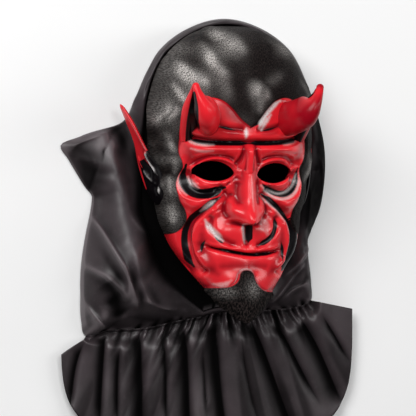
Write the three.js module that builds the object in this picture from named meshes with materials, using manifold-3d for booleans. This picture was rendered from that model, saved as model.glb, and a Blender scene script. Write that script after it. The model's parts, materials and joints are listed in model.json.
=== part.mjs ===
// A moulded devil face mask with horns, pointed ears, modelled hair and a goatee, and the black satin hood
// that it is sewn into, with a gathered shoulder ruffle. The mask lies on its back on the collapsed hood.
// Millimetres. While it is modelled, x runs to the viewer's right, y up the face and z out of the face, with
// y = 0 on the eye line and x = 0 on the middle of the face. The group then moves to the middle of its base.
import * as THREE from "three";
import { mergeVertices } from "three/addons/utils/BufferGeometryUtils.js";
import Module from "manifold-3d";

const wasm = await Module();
wasm.setup();

// Head form
const CROWN_Y = 134;
const BEARD_TIP_Y = -142;
const TEMPLE_Y = 40; // the widest and deepest level
const HALF_WIDTH = 76;
const FOREHEAD_DEPTH = 97;
const MIDFACE_SET_BACK = 13; // the lower face is this much shallower than the forehead
const JAW_Y = -48; // below this level the back edge climbs forwards to the chin
const JAW_SLOPE = 0.8;
const JAW_EASE = 8;
const JOWL_WIDTH = 3; // fuller beside the mouth
const JOWL_Y = -76;
const SECTION_POWER = 2.3; // 2 is an ellipse, more is boxier
const WALL = 2.2;
const EDGE_BAND = 3; // the straight strip along the back edge
const REST_Z = 2.3; // the back edge lies on the hood's back panel

// Hood
const CLOTH = 2; // the back panel as a plain solid
const SEAM_GAP = 1.8;

const clamp = THREE.MathUtils.clamp;
const degrees = THREE.MathUtils.degToRad;
const smooth = (t) => THREE.MathUtils.smoothstep(t, 0, 1);
const bell = (t) => Math.exp(-t * t);

/** Half the mask's width at the back edge. */
function halfWidth(y) {
  if (y > TEMPLE_Y) {
    const up = clamp((y - TEMPLE_Y) / (CROWN_Y - TEMPLE_Y), 0, 1);
    return HALF_WIDTH * (1 - up ** 2.25) ** (1 / 2.2);
  }
  const down = clamp((TEMPLE_Y - y) / (TEMPLE_Y - BEARD_TIP_Y), 0, 1);
  return HALF_WIDTH * (1 - down ** 2.35) ** 0.82 + JOWL_WIDTH * bell((y - JOWL_Y) / 26);
}

/** How far the middle of the face stands out, without its features. */
function middleDepth(y) {
  if (y > TEMPLE_Y) {
    const up = clamp((y - TEMPLE_Y) / (CROWN_Y - TEMPLE_Y), 0, 1);
    return FOREHEAD_DEPTH * (1 - up ** 2.6) ** (1 / 2.2);
  }
  return FOREHEAD_DEPTH - MIDFACE_SET_BACK * smooth((TEMPLE_Y - y) / 100);
}

/** Height of the back edge: flat behind the head, and climbing forwards under the jaw. */
function edgeHeight(y) {
  const below = JAW_Y - y;
  return (JAW_SLOPE / 2) * (below + Math.hypot(below, JAW_EASE));
}

/** The plain head form as a height over the plan, for a shell that is inset by some wall. */
function headHeight(x, y, inset = 0) {
  const across = clamp(Math.abs(x) / Math.max(halfWidth(y) - inset, 0.1), 0, 1);
  const low = edgeHeight(y) + EDGE_BAND;
  const high = Math.max(middleDepth(y) - inset, low + 0.5);
  return low + (high - low) * (1 - across ** SECTION_POWER) ** (1 / SECTION_POWER);
}

/** Outward direction of the plain head form at a place on the plan. */
function headNormal(x, y) {
  const step = 1.5;
  const slopeX = (headHeight(x + step, y) - headHeight(x - step, y)) / (2 * step);
  const slopeY = (headHeight(x, y + step) - headHeight(x, y - step)) / (2 * step);
  return new THREE.Vector3(-slopeX, -slopeY, 1).normalize();
}

/** A groove or a ridge that follows a curve on the face: its half width, and its height, negative for a groove. */
function stroke(half, height, ...points) {
  const curve = new THREE.SplineCurve(points.map(([x, y]) => new THREE.Vector2(x, y)));
  return { half, height, line: curve.getPoints(4 * points.length) };
}

/** A swelling, or a hollow where its height is negative. */
const swelling = (x, y, wide, tall, height, turn = 0) => ({ x, y, wide, tall, height, turn: degrees(turn) });

// One side of the face, which the other side mirrors.
const SWELLINGS = {
  eyeSocket: swelling(29, 0, 24, 12, -5),
  browPad: swelling(32, 17, 22, 6.5, 5, -4),
  glabella: swelling(0, 12, 6, 13, 3),
  noseTip: swelling(0, -41, 9, 8, 7),
  noseWing: swelling(14.5, -37, 7, 7.5, 8),
  lipCushion: swelling(21, -59, 16, 12, 6),
  lowerLip: swelling(0, -82, 23, 5, 4),
  lowerLipLobe: swelling(24, -80, 9, 8, 3),
  mouthCorner: swelling(38.5, -73, 3.5, 6, -4),
  chin: swelling(0, -104, 18, 13, 6),
  temple: swelling(62, 45, 10, 20, -2),
};
const RIDGES = {
  cheekbone: stroke(6, 4, [59, 4], [58, -14], [50, -29], [38, -34], [25, -29]),
  eyeBag: stroke(4.5, 2.8, [16, -13], [30, -17], [44, -12]),
  smileFold: stroke(4.5, 4, [32, -41], [42, -52], [43.5, -66], [39, -80], [30, -89]),
  jowl: stroke(4, 3, [55, -50], [56.5, -60], [54, -72], [47, -85], [36, -98]),
  browEdge: stroke(3, 2, [0, 29], [30, 30], [52, 34]),
};
const GROOVES = {
  browCrease: stroke(3.4, -7, [0, 23], [28, 23.5], [46, 26], [55, 29]),
  lidCrease: stroke(3, -3.2, [9, 4], [20, 10.5], [33, 12.5], [47, 9], [54, 2]),
  eyeCrescent: stroke(4.2, -6, [56, 2], [54, -10], [48.5, -20], [38, -25.5], [27, -23], [20, -17]),
  cheekFold: stroke(4, -7, [21, -28], [32, -32], [43, -39.5], [50, -51], [50, -65], [46, -79], [40, -90]),
  philtrum: stroke(3.6, -4.5, [0, -53], [0, -69]),
  lipFold: stroke(3.2, -2.8, [31, -46], [29, -56], [22, -65], [12, -70.5]),
  mouth: stroke(3.2, -8, [38, -70], [28, -72.5], [14, -75.5], [0, -77]),
  chinCrease: stroke(3.4, -2.5, [0, -90], [14, -90], [26, -86]),
};

// Nose ridge, from the brow crease down to the hooked tip
const NOSE = { topY: 22, tipY: -46, endY: -52, topRise: 2.5, tipRise: 17, topHalf: 5, tipHalf: 10 };

// Eye hole, a slanted almond
const EYE = { x: 30, y: -3, halfLength: 19.5, upper: 10.2, lower: 8.8, slant: degrees(8.5), power: 0.8 };

// The edge between the red face and the modelled hair on one side, from the widow's peak round to the jaw
const HAIRLINE = [[0, 39], [20, 50], [37, 66], [48, 71], [57, 62], [60, 42], [59, 10], [60, -20], [50, -42], [49, -50], [56, -68]];
const HAIR_RISE = 2.2;
const HAIRLINE_SOFT = 2; // how wide the step up to the hair is

// Goatee: a narrow tongue below the lip that spreads over the chin
const GOATEE = { topY: -90, flareY: -109, tongueHalf: 6.5, rise: 3 };

/** Distance from a place on the face to a stroke's line. */
function distanceTo(line, x, y) {
  let nearest = Infinity;
  for (let i = 1; i < line.length; i++) {
    const a = line[i - 1];
    const b = line[i];
    const alongX = b.x - a.x;
    const alongY = b.y - a.y;
    const t = clamp(((x - a.x) * alongX + (y - a.y) * alongY) / (alongX ** 2 + alongY ** 2), 0, 1);
    nearest = Math.min(nearest, Math.hypot(x - a.x - t * alongX, y - a.y - t * alongY));
  }
  return nearest;
}

const hairlineCurve = stroke(0, 0, ...HAIRLINE).line;

/** 1 on the hair, 0 on the skin, from the side of the hairline that a place is on. */
function hairShare(x, y) {
  const far = distanceTo(hairlineCurve, x, y);
  let inside = false; // the face outline, closed down the middle of the face
  const corners = [...hairlineCurve.map((p) => [p.x, p.y]), [60, -160], [-1, -160], [-1, 39]];
  corners.forEach(([ax, ay], i) => {
    const [bx, by] = corners[(i + 1) % corners.length];
    if (ay > y !== by > y && x < ax + ((y - ay) / (by - ay)) * (bx - ax)) inside = !inside;
  });
  return smooth(0.5 + (inside ? -far : far) / HAIRLINE_SOFT);
}

/** 1 on the goatee, 0 elsewhere. */
function goateeShare(x, y) {
  const flare = smooth((GOATEE.topY - 8 - y) / (GOATEE.topY - 8 - GOATEE.flareY));
  const half = THREE.MathUtils.lerp(GOATEE.tongueHalf, 60, flare ** 3);
  return smooth((half - x) / 2 + 0.5) * smooth((GOATEE.topY - y) / 3);
}

/** How far a place is outside the eye hole's edge, measured across the hole. */
function eyeEdge(x, y) {
  const dx = x - EYE.x;
  const dy = y - EYE.y;
  const along = dx * Math.cos(EYE.slant) + dy * Math.sin(EYE.slant);
  const up = -dx * Math.sin(EYE.slant) + dy * Math.cos(EYE.slant);
  const share = 1 - (along / EYE.halfLength) ** 2;
  const bulge = up > 0 ? EYE.upper : EYE.lower;
  return Math.max(Math.abs(up) - bulge * Math.max(share, 0) ** EYE.power, Math.abs(along) - EYE.halfLength);
}

/** The nose's own rise over the face. */
function noseRise(x, y) {
  const down = clamp((NOSE.topY - y) / (NOSE.topY - NOSE.tipY), 0, 1);
  const rise = THREE.MathUtils.lerp(NOSE.topRise, NOSE.tipRise, down ** 1.2);
  const half = THREE.MathUtils.lerp(NOSE.topHalf, NOSE.tipHalf, down);
  const start = smooth((NOSE.topY + 4 - y) / 8);
  const end = smooth((y - NOSE.endY) / (NOSE.tipY - NOSE.endY));
  return rise * start * end * bell(x / half);
}

/** How far the modelled face stands proud of the plain head form. */
function relief(signedX, y) {
  const x = Math.abs(signedX);
  let out = noseRise(x, y);
  for (const s of Object.values(SWELLINGS)) {
    const across = (x - s.x) * Math.cos(s.turn) + (y - s.y) * Math.sin(s.turn);
    const up = -(x - s.x) * Math.sin(s.turn) + (y - s.y) * Math.cos(s.turn);
    out += s.height * bell(Math.hypot(across / s.wide, up / s.tall));
  }
  for (const s of [...Object.values(RIDGES), ...Object.values(GROOVES)]) {
    out += s.height * bell(distanceTo(s.line, x, y) / s.half);
  }
  out += 2 * bell((eyeEdge(x, y) - 2) / 2);
  const hair = hairShare(x, y);
  const skin = 1 - hair;
  return out * skin + HAIR_RISE * hair + GOATEE.rise * goateeShare(x, y) * skin;
}

/** The relief as facets a few millimetres wide can hold it: the mean over a small disc. */
function facetRelief(x, y) {
  const radius = 2.6;
  let sum = 2 * relief(x, y);
  for (let i = 0; i < 6; i++) sum += relief(x + radius * Math.cos((i * Math.PI) / 3), y + radius * Math.sin((i * Math.PI) / 3));
  return sum / 8;
}

/** A sheet from -1 to 1 each way, laid over the head's outline so that it has no pole. */
function onPlan(u, v, inset, lowest) {
  const p = u * Math.sqrt(1 - (v * v) / 2);
  const q = v * Math.sqrt(1 - (u * u) / 2);
  const radius = Math.min(Math.hypot(p, q), 1);
  const spread = radius > 1e-9 ? Math.sin((radius * Math.PI) / 2) / radius : Math.PI / 2;
  const top = CROWN_Y - inset;
  const up = clamp(q * spread, -1, 1);
  const y = (top + lowest) / 2 + ((top - lowest) / 2) * up;
  const across = clamp((p * spread) / Math.sqrt(Math.max(1 - up * up, 1e-9)), -1, 1);
  return [across * Math.max(halfWidth(y) - inset, 0.4), y];
}

/** Spends most of a grid's lines on the face: the middle stretch of the grid covers from low to high. */
function crowd(t, low, high, share) {
  const before = (1 - share) * ((low + 1) / (low + 1 + 1 - high));
  const at = (t + 1) / 2;
  if (at < before) return -1 + (at / before) * (low + 1);
  if (at > before + share) return high + ((at - before - share) / (1 - before - share)) * (1 - high);
  return low + ((at - before) / share) * (high - low);
}

/** Moves every vertex of a geometry by a function of its place. */
function reshape(geometry, place) {
  const points = geometry.attributes.position;
  const point = new THREE.Vector3();
  for (let i = 0; i < points.count; i++) {
    point.fromBufferAttribute(points, i);
    point.copy(place(point));
    points.setXYZ(i, point.x, point.y, point.z);
  }
  return geometry;
}

/** A closed three.js geometry as a solid that can be joined and cut. */
function solid(geometry) {
  const bare = geometry.clone();
  bare.deleteAttribute("normal");
  bare.deleteAttribute("uv");
  const merged = mergeVertices(bare, 1e-4);
  return new wasm.Manifold(
    new wasm.Mesh({
      numProp: 3,
      vertProperties: merged.attributes.position.array,
      triVerts: new Uint32Array(merged.index.array),
    }),
  );
}

/** A joined or cut solid back as a three.js geometry. */
function geometryOf(made) {
  const { vertProperties, triVerts } = made.getMesh();
  const geometry = new THREE.BufferGeometry();
  geometry.setAttribute("position", new THREE.BufferAttribute(new Float32Array(vertProperties), 3));
  geometry.setIndex(new THREE.BufferAttribute(new Uint32Array(triVerts), 1));
  geometry.computeVertexNormals();
  return geometry;
}

/** The outside of the face and head, filled down to its back edge. */
function outerForm() {
  const columns = 36;
  const rows = 44;
  return reshape(new THREE.BoxGeometry(2, 2, 1, columns, rows, 1), (p) => {
    const u = crowd(p.x, -0.56, 0.56, 0.83);
    const v = crowd(p.y, -0.5, 0.24, 0.78);
    const [x, y] = onPlan(u, v, 0, BEARD_TIP_Y);
    if (p.z < 0) {
      const onEdge = Math.max(Math.abs(p.x), Math.abs(p.y)) > 0.999 ? 1 : 0.5;
      return new THREE.Vector3(x * onEdge, y * onEdge, edgeHeight(y * onEdge));
    }
    const fade = smooth((1 - Math.max(Math.abs(u), Math.abs(v))) / 0.06);
    return headNormal(x, y).multiplyScalar(facetRelief(x, y) * fade).add(new THREE.Vector3(x, y, headHeight(x, y)));
  });
}

/** The inside of the shell: it follows the lowest of the relief near each place, one wall further in. */
function innerForm() {
  const columns = 16;
  const rows = 21;
  const reach = 4.5;
  const beardFill = 14; // the beard's tip is solid
  return reshape(new THREE.BoxGeometry(2, 2, 1, columns, rows, 1), (p) => {
    const u = crowd(p.x, -0.56, 0.56, 0.7);
    const v = crowd(p.y, -0.5, 0.24, 0.66);
    const [x, y] = onPlan(u, v, WALL, BEARD_TIP_Y + beardFill);
    if (p.z < 0) return new THREE.Vector3(x, y, edgeHeight(y) - 4 * WALL);
    const near = [0, 1, 2, 3, 4, 5, 6, 7].map((i) => {
      const turn = (i * Math.PI) / 4;
      return facetRelief(x + reach * Math.cos(turn), y + reach * Math.sin(turn));
    });
    const fade = smooth((1 - Math.max(Math.abs(u), Math.abs(v))) / 0.06);
    const rise = Math.min(facetRelief(x, y), ...near) * fade;
    return headNormal(x, y).multiplyScalar(rise).add(new THREE.Vector3(x, y, headHeight(x, y, WALL)));
  });
}

// Horn: it leaves the brow forwards, then curls up and outwards. A slimmer second strand runs up its outer side.
const HORN = {
  path: new THREE.QuadraticBezierCurve3(
    new THREE.Vector3(40.5, 41, 68),
    new THREE.Vector3(43.5, 32, 134),
    new THREE.Vector3(60, 77, 131),
  ),
  baseRadius: 16.5,
  tipRadius: 1.2,
};
const HORN_STRAND = {
  path: new THREE.QuadraticBezierCurve3(
    new THREE.Vector3(57, 23, 62),
    new THREE.Vector3(60, 42, 112),
    new THREE.Vector3(60, 73.5, 128.5),
  ),
  baseRadius: 8.5,
  tipRadius: 1,
};

/** A horn strand, or its hollow when it is inset by a wall. */
function horn(side, { path, baseRadius, tipRadius }, inset, sectors) {
  const rings = inset ? 5 : 10;
  const [from, to] = inset ? [-0.12, 0.7] : [0, 1];
  const profile = [new THREE.Vector2(0, from)];
  for (let i = 0; i <= rings; i++) profile.push(new THREE.Vector2(1, from + (i / rings) * (to - from)));
  profile.push(new THREE.Vector2(0, to));
  const binormal = new THREE.Vector3().crossVectors(path.getTangent(0), path.getTangent(1)).normalize();
  const made = reshape(new THREE.LatheGeometry(profile, sectors), (p) => {
    const turn = Math.atan2(p.z, p.x);
    const taper = tipRadius + (baseRadius - tipRadius) * (1 - Math.abs(p.y) ** 1.7) - inset;
    const radius = Math.hypot(p.x, p.z) * taper;
    const normal = new THREE.Vector3().crossVectors(path.getTangent(p.y), binormal);
    return path
      .getPoint(p.y)
      .addScaledVector(normal, radius * Math.cos(turn))
      .addScaledVector(binormal, radius * Math.sin(turn));
  });
  return oneSide(solid(made), side);
}

/** A solid of the right side, or mirrored to the left. */
const oneSide = (made, side) => (side > 0 ? made : made.mirror([1, 0, 0]));

// Ears: a cupped leaf that runs up to a point. The left one stands off the head. The right one is tucked under
// the hood's edge, folded back flat against the head.
const EARS = [
  {
    side: -1,
    path: new THREE.QuadraticBezierCurve3(
      new THREE.Vector3(70, -34, 25),
      new THREE.Vector3(76.5, 8, 29),
      new THREE.Vector3(103.5, 58.5, 19),
    ),
    halfWidth: 16,
    halfThickness: 2.6,
    swing: degrees(12), // how far its open side turns to the front
    cup: 3.5,
    bowl: 2.2,
  },
  {
    side: 1,
    path: new THREE.QuadraticBezierCurve3(
      new THREE.Vector3(70.5, -34, 22),
      new THREE.Vector3(78.5, 8, 23),
      new THREE.Vector3(75.5, 56, 12),
    ),
    halfWidth: 13,
    halfThickness: 2.4,
    swing: degrees(4),
    cup: -1,
    bowl: 0.8,
  },
];

function ear({ side, path, halfWidth: widest, halfThickness, swing, cup, bowl }) {
  const out = new THREE.Vector3(Math.cos(swing), 0, Math.sin(swing));
  const across = new THREE.Vector3(-Math.sin(swing), 0, Math.cos(swing));
  const made = reshape(new THREE.SphereGeometry(1, 14, 12), (p) => {
    const along = (p.y + 1) / 2;
    const turn = Math.atan2(p.z, p.x);
    const spread = Math.sin(Math.PI * along ** 0.62);
    const width = widest * spread ** 0.9 * Math.sin(turn);
    const front = Math.cos(turn) > 0 ? 1 : 0;
    const hollow = bowl * spread * front * bell((along - 0.34) / 0.2) * bell(Math.sin(turn) / 0.7);
    const thick = halfThickness * spread ** 0.5 * Math.cos(turn) - hollow;
    const curl = cup * spread * Math.sin(turn) ** 2;
    return path.getPoint(along).addScaledVector(across, width).addScaledVector(out, thick + curl);
  });
  return oneSide(solid(made), side);
}

/** The tool that cuts an eye hole straight through the shell. */
function eyeCutter(side) {
  const outline = [];
  const steps = 11;
  for (const [sign, bulge] of [[1, EYE.upper], [-1, EYE.lower]]) {
    for (let i = 0; i < steps; i++) {
      const along = -sign * Math.cos((i / steps) * Math.PI);
      const up = sign * bulge * (1 - along ** 2) ** EYE.power;
      outline.push(new THREE.Vector2(along * EYE.halfLength, up).rotateAround(new THREE.Vector2(), EYE.slant));
    }
  }
  const made = new THREE.ExtrudeGeometry(new THREE.Shape(outline), { depth: 80, bevelEnabled: false });
  made.translate(EYE.x, EYE.y, 35);
  return oneSide(solid(made), side);
}

function maskMoulding() {
  let outside = solid(outerForm());
  let inside = solid(innerForm());
  for (const side of [-1, 1]) {
    outside = outside.add(horn(side, HORN, 0, 16)).add(horn(side, HORN_STRAND, 0, 10));
    inside = inside.add(horn(side, HORN, 1.5 * WALL, 9)).add(eyeCutter(side));
  }
  for (const each of EARS) outside = outside.add(ear(each));
  const mesh = new THREE.Mesh(
    geometryOf(outside.subtract(inside)),
    new THREE.MeshStandardMaterial({ color: 0xb5101c, roughness: 0.2, metalness: 0 }),
  );
  mesh.name = "mask_moulding";
  mesh.position.z = REST_Z;
  return mesh;
}

// The collapsed hood's outline round the face: angle from the right of the face, and radius
const HOOD_OUTLINE = [
  [5, 100], [25, 104], [37, 110], [48, 118], [61, 131], [75, 139], [90, 143], [105, 138], [119, 129.5],
  [129, 119.5], [142, 110], [157, 110], [168, 148], [174, 158], [180, 142], [188, 128], [204, 147], [219, 180],
  [226, 200], [229.5, 207], [233.4, 190], [242.5, 170], [251.2, 153], [261, 142], [268, 137], [285, 140],
  [291, 144], [304, 152], [308, 139], [315, 116], [321, 105.5], [341, 101], [352, 99.5],
];
const SEAM_START = 229.5;
const SEAM_END = 304;
const FACE_GAP = 3; // between the mask's edge and the hood
const EAR_ROOM = { angle: 12, spread: 30, width: 4.5 }; // more beside the tucked ear
const HEM_BAND = 6; // the narrowest strip of hood that shows round the face
const JAW_GAP = { angle: 226, spread: 38, width: 15 }; // the hood hangs open beside the jaw on one side

/** Radius of the hood's outline at an angle in degrees: a smooth curve through its stations. */
function hoodRadius(angle) {
  const turn = ((angle % 360) + 360) % 360;
  const count = HOOD_OUTLINE.length;
  let i = HOOD_OUTLINE.findIndex(([a]) => a > turn);
  if (i < 0) i = count;
  const station = (k) => {
    const wraps = Math.floor(k / count);
    const [a, r] = HOOD_OUTLINE[((k % count) + count) % count];
    return [a + 360 * wraps, r];
  };
  const [before, from, to, after] = [-2, -1, 0, 1].map((k) => station(i + k));
  const span = to[0] - from[0];
  const t = (turn - from[0]) / span;
  const slopeIn = ((to[1] - before[1]) / (to[0] - before[0])) * span;
  const slopeOut = ((after[1] - from[1]) / (after[0] - from[0])) * span;
  const t2 = t * t;
  const t3 = t2 * t;
  return (
    (2 * t3 - 3 * t2 + 1) * from[1] + (t3 - 2 * t2 + t) * slopeIn + (3 * t2 - 2 * t3) * to[1] + (t3 - t2) * slopeOut
  );
}

/** Radius of the mask's own outline at an angle, found by halving. */
function maskRadius(angle) {
  const [cx, cy] = [Math.cos(degrees(angle)), Math.sin(degrees(angle))];
  let low = 0;
  let high = 200;
  for (let i = 0; i < 30; i++) {
    const middle = (low + high) / 2;
    if (Math.abs(middle * cx) < halfWidth(middle * cy) && middle * cy < CROWN_Y && middle * cy > BEARD_TIP_Y) low = middle;
    else high = middle;
  }
  return low;
}

/** Radius of the hood's face opening, which never comes nearer to the outline than its hem. */
function openingRadius(angle) {
  const beside = ((angle + 180) % 360) - 180;
  const slack =
    JAW_GAP.width * bell((angle - JAW_GAP.angle) / JAW_GAP.spread) +
    EAR_ROOM.width * bell((beside - EAR_ROOM.angle) / EAR_ROOM.spread);
  return Math.min(maskRadius(angle) + FACE_GAP + slack, hoodRadius(angle) - HEM_BAND);
}

const EAR_LINE = EARS[0].path.getPoints(8).map((p) => new THREE.Vector2(EARS[0].side * p.x, p.y));

/** How high the collapsed cloth stands at a place: puffed beside the jaw, and pressed flat under the open ear. */
function hoodLoft(angle, x, y) {
  const left = 24 * bell((angle - 222) / 20);
  const right = 12 * bell((angle - 318) / 15);
  const press = smooth(distanceTo(EAR_LINE, x, y) / 22 - 0.35);
  return THREE.MathUtils.lerp(2, 7 + left + right, press);
}

function hood() {
  const rings = 6;
  const profile = [new THREE.Vector2(0, 0), new THREE.Vector2(1 + rings, 0)];
  for (let i = rings; i >= 0; i--) profile.push(new THREE.Vector2(1 + i, 1));
  profile.push(new THREE.Vector2(0, 1));
  const made = reshape(new THREE.LatheGeometry(profile, 60), (p) => {
    const ring = Math.hypot(p.x, p.z);
    const angle = (THREE.MathUtils.radToDeg(Math.atan2(-p.z, p.x)) + 360) % 360;
    const share = clamp((ring - 1) / rings, 0, 1);
    const opening = openingRadius(angle);
    const radius = ring < 0.5 ? 0 : opening + (hoodRadius(angle) - opening) * share;
    const [x, y] = [radius * Math.cos(degrees(angle)), radius * Math.sin(degrees(angle))];
    const folds = 1 + 0.25 * Math.sin(3 * Math.PI * share + 2.5 * Math.sin(degrees(3 * angle)));
    const puff = share > 0 ? hoodLoft(angle, x, y) * Math.sin(Math.PI * share) ** 0.7 * folds : 0;
    return new THREE.Vector3(x, y, p.y > 0.5 ? CLOTH + puff : 0);
  });
  const mesh = new THREE.Mesh(
    geometryOf(solid(made)),
    new THREE.MeshStandardMaterial({ color: 0x1b191b, roughness: 0.45, metalness: 0 }),
  );
  mesh.name = "hood";
  return mesh;
}

// Ruffle: gathered to the hood along the neck seam, and spread to a wide hem with round corners
const HEM = { x: -18, y: -150, halfWidth: 142, halfLength: 112, power: 3.5, from: 184, to: 362 };
const PLEATS = { count: 13, atSeam: 4, atHem: 9, low: 3 };

function ruffle() {
  const columns = 4 * PLEATS.count;
  const rows = 3;
  const made = reshape(new THREE.BoxGeometry(1, 1, 1, columns, rows, 1), (p) => {
    const along = p.x + 0.5;
    const down = 0.5 - p.y;
    const seamAngle = THREE.MathUtils.lerp(SEAM_START, SEAM_END, along);
    const seamRadius = hoodRadius(seamAngle) + SEAM_GAP;
    const hemAngle = degrees(THREE.MathUtils.lerp(HEM.from, HEM.to, along));
    const boxy = (value) => Math.sign(value) * Math.abs(value) ** (2 / HEM.power);
    const seam = new THREE.Vector3(
      seamRadius * Math.cos(degrees(seamAngle)),
      seamRadius * Math.sin(degrees(seamAngle)),
      0,
    );
    const hem = new THREE.Vector3(
      HEM.x + HEM.halfWidth * boxy(Math.cos(hemAngle)),
      HEM.y + HEM.halfLength * boxy(Math.sin(hemAngle)),
      0,
    );
    const tall = THREE.MathUtils.lerp(PLEATS.atSeam, PLEATS.atHem, down);
    const pleat = 0.5 - 0.5 * Math.cos(2 * Math.PI * PLEATS.count * along + 0.8 * Math.sin(9 * along));
    const z = p.z > 0 ? PLEATS.low + tall * pleat : 0;
    return seam.lerp(hem, down).setZ(z);
  });
  const mesh = new THREE.Mesh(
    geometryOf(solid(made)),
    new THREE.MeshStandardMaterial({ color: 0x1b191b, roughness: 0.45, metalness: 0 }),
  );
  mesh.name = "shoulder_ruffle";
  return mesh;
}

const mask = new THREE.Group();
mask.add(maskMoulding(), hood(), ruffle());

// The part's frame: the middle of its bounding box on the surface that it lies on
const box = new THREE.Box3().setFromObject(mask);
mask.position.set(-(box.min.x + box.max.x) / 2, -(box.min.y + box.max.y) / 2, -box.min.z);

export default mask;
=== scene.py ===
# %% [markdown]
# A moulded devil mask lies on its back, still sewn into its black satin hood with the gathered shoulder
# ruffle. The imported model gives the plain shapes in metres. This lesson dresses them: the face gets its
# fine modelling and its sprayed paint, and the cloth gets its folds.

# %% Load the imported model
import bmesh
import bpy
import json
import math
import numpy as np
from mathutils import Matrix, Vector

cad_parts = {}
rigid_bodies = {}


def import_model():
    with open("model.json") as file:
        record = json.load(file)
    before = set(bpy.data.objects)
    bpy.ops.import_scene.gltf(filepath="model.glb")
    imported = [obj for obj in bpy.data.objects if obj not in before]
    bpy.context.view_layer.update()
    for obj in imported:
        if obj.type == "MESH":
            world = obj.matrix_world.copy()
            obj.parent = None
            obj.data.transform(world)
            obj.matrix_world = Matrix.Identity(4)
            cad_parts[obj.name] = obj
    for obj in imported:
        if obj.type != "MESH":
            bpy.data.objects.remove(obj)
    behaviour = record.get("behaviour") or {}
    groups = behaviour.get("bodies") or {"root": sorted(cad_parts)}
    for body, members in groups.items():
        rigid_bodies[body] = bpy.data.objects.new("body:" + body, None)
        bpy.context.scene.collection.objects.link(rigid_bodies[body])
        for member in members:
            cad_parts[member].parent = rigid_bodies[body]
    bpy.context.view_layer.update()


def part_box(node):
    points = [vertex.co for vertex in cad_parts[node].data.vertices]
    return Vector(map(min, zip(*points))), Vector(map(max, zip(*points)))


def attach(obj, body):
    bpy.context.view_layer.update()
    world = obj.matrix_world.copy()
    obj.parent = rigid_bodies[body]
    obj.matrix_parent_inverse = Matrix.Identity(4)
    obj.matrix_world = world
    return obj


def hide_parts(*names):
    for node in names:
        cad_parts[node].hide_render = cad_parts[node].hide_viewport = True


for leftover in list(bpy.data.objects):
    bpy.data.objects.remove(leftover)
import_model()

# %% [markdown]
# All the modelling below is in the face's own frame, in millimetres: x to the viewer's right, y up the
# face from the eye line, z out of the face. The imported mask's box says where that frame sits in the part.

# %% Place the face's frame
MM = 0.001
CROWN_Y = 134.0
EAR_TIP_LEFT = 103.5  # the open ear's tip is this far left of the middle of the face
REST_Z = 2.3  # the mask's back edge lies on the hood's back panel
mask_low, mask_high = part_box("mask_moulding")
FACE_X = mask_low[0] / MM + EAR_TIP_LEFT
FACE_Y = mask_high[1] / MM - CROWN_Y
print("face frame at", round(FACE_X, 2), round(FACE_Y, 2), "mm")

# %% Curve helpers
def smooth(t):
    """0 to 1 with soft ends."""
    t = np.clip(t, 0.0, 1.0)
    return t * t * (3 - 2 * t)


def bell(t):
    """1 in the middle, falling softly to 0 on both sides."""
    return np.exp(-np.square(t))


def lerp(a, b, t):
    return a + (b - a) * t


def spline(points, per_span=8):
    """A smooth line through some points of any dimension."""
    p = np.array(points, dtype=float)
    p = np.vstack([2 * p[0] - p[1], p, 2 * p[-1] - p[-2]])
    line = []
    for i in range(1, len(p) - 2):
        for t in np.arange(per_span) / per_span:
            a, b, c, d = p[i - 1 : i + 3]
            at = 2 * b + (c - a) * t + (2 * a - 5 * b + 4 * c - d) * t**2 + (3 * b - a - 3 * c + d) * t**3
            line.append(0.5 * at)
    line.append(p[-2])
    return np.array(line)


HASH_U, HASH_V, HASH_SEED, HASH_SCALE = 127.1, 311.7, 74.7, 43758.5453  # unrelated numbers scatter well


def noise(u, v, seed=0.0):
    """Smooth noise from -1 to 1 over two coordinates, the same on each run."""
    cell_u, cell_v = np.floor(u), np.floor(v)
    fu, fv = smooth(u - cell_u), smooth(v - cell_v)

    def corner(i, j):
        n = np.sin((cell_u + i) * HASH_U + (cell_v + j) * HASH_V + seed * HASH_SEED) * HASH_SCALE
        return 2 * (n - np.floor(n)) - 1

    low = lerp(corner(0, 0), corner(1, 0), fu)
    high = lerp(corner(0, 1), corner(1, 1), fu)
    return lerp(low, high, fv)


print("noise at (1.5, 2.5):", round(float(noise(np.array(1.5), np.array(2.5))), 3))

# %% Mesh helpers
def coordinates(bm):
    """The places of a bmesh's vertices as one array."""
    return np.array([v.co[:] for v in bm.verts])


def move_to(bm, places):
    for vertex, place in zip(bm.verts, places):
        vertex.co = place


def new_object(name, data):
    """Puts a mesh, a lamp or a camera into the scene."""
    made = bpy.data.objects.new(name, data)
    bpy.context.scene.collection.objects.link(made)
    return made


def mesh_object(name, bm):
    """Turns a bmesh in metres into an object."""
    mesh = bpy.data.meshes.new(name)
    bm.to_mesh(mesh)
    bm.free()
    return new_object(name, mesh)


def add_object(name, bm, lift=0.0):
    """Turns a bmesh in the face's frame into an object in the part's frame, lifted by some millimetres."""
    bm.transform(Matrix.Scale(MM, 4) @ Matrix.Translation((FACE_X, FACE_Y, lift)))
    return mesh_object(name, bm)


def read_rows(data, name):
    """A vector of every vertex or attribute value, as rows of three numbers."""
    flat = np.empty(3 * len(data))
    data.foreach_get(name, flat)
    return flat.reshape(-1, 3)


def write_rows(data, name, rows):
    data.foreach_set(name, rows.astype(np.float32).ravel())


def store(mesh, name, values):
    """Keeps one number per vertex on the mesh, for its material to read."""
    if name not in mesh.attributes:
        mesh.attributes.new(name, "FLOAT", "POINT")
    mesh.attributes[name].data.foreach_set("value", np.asarray(values, dtype=np.float32))


def read(mesh, name):
    """The numbers that were stored under a name."""
    values = np.empty(len(mesh.vertices))
    mesh.attributes[name].data.foreach_get("value", values)
    return values


def shade_smooth(mesh, sharp_degrees=None):
    mesh.polygons.foreach_set("use_smooth", np.ones(len(mesh.polygons), dtype=bool))
    if sharp_degrees:
        mesh.set_sharp_from_angle(angle=math.radians(sharp_degrees))


print("one modelling unit is", MM, "m")

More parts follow.
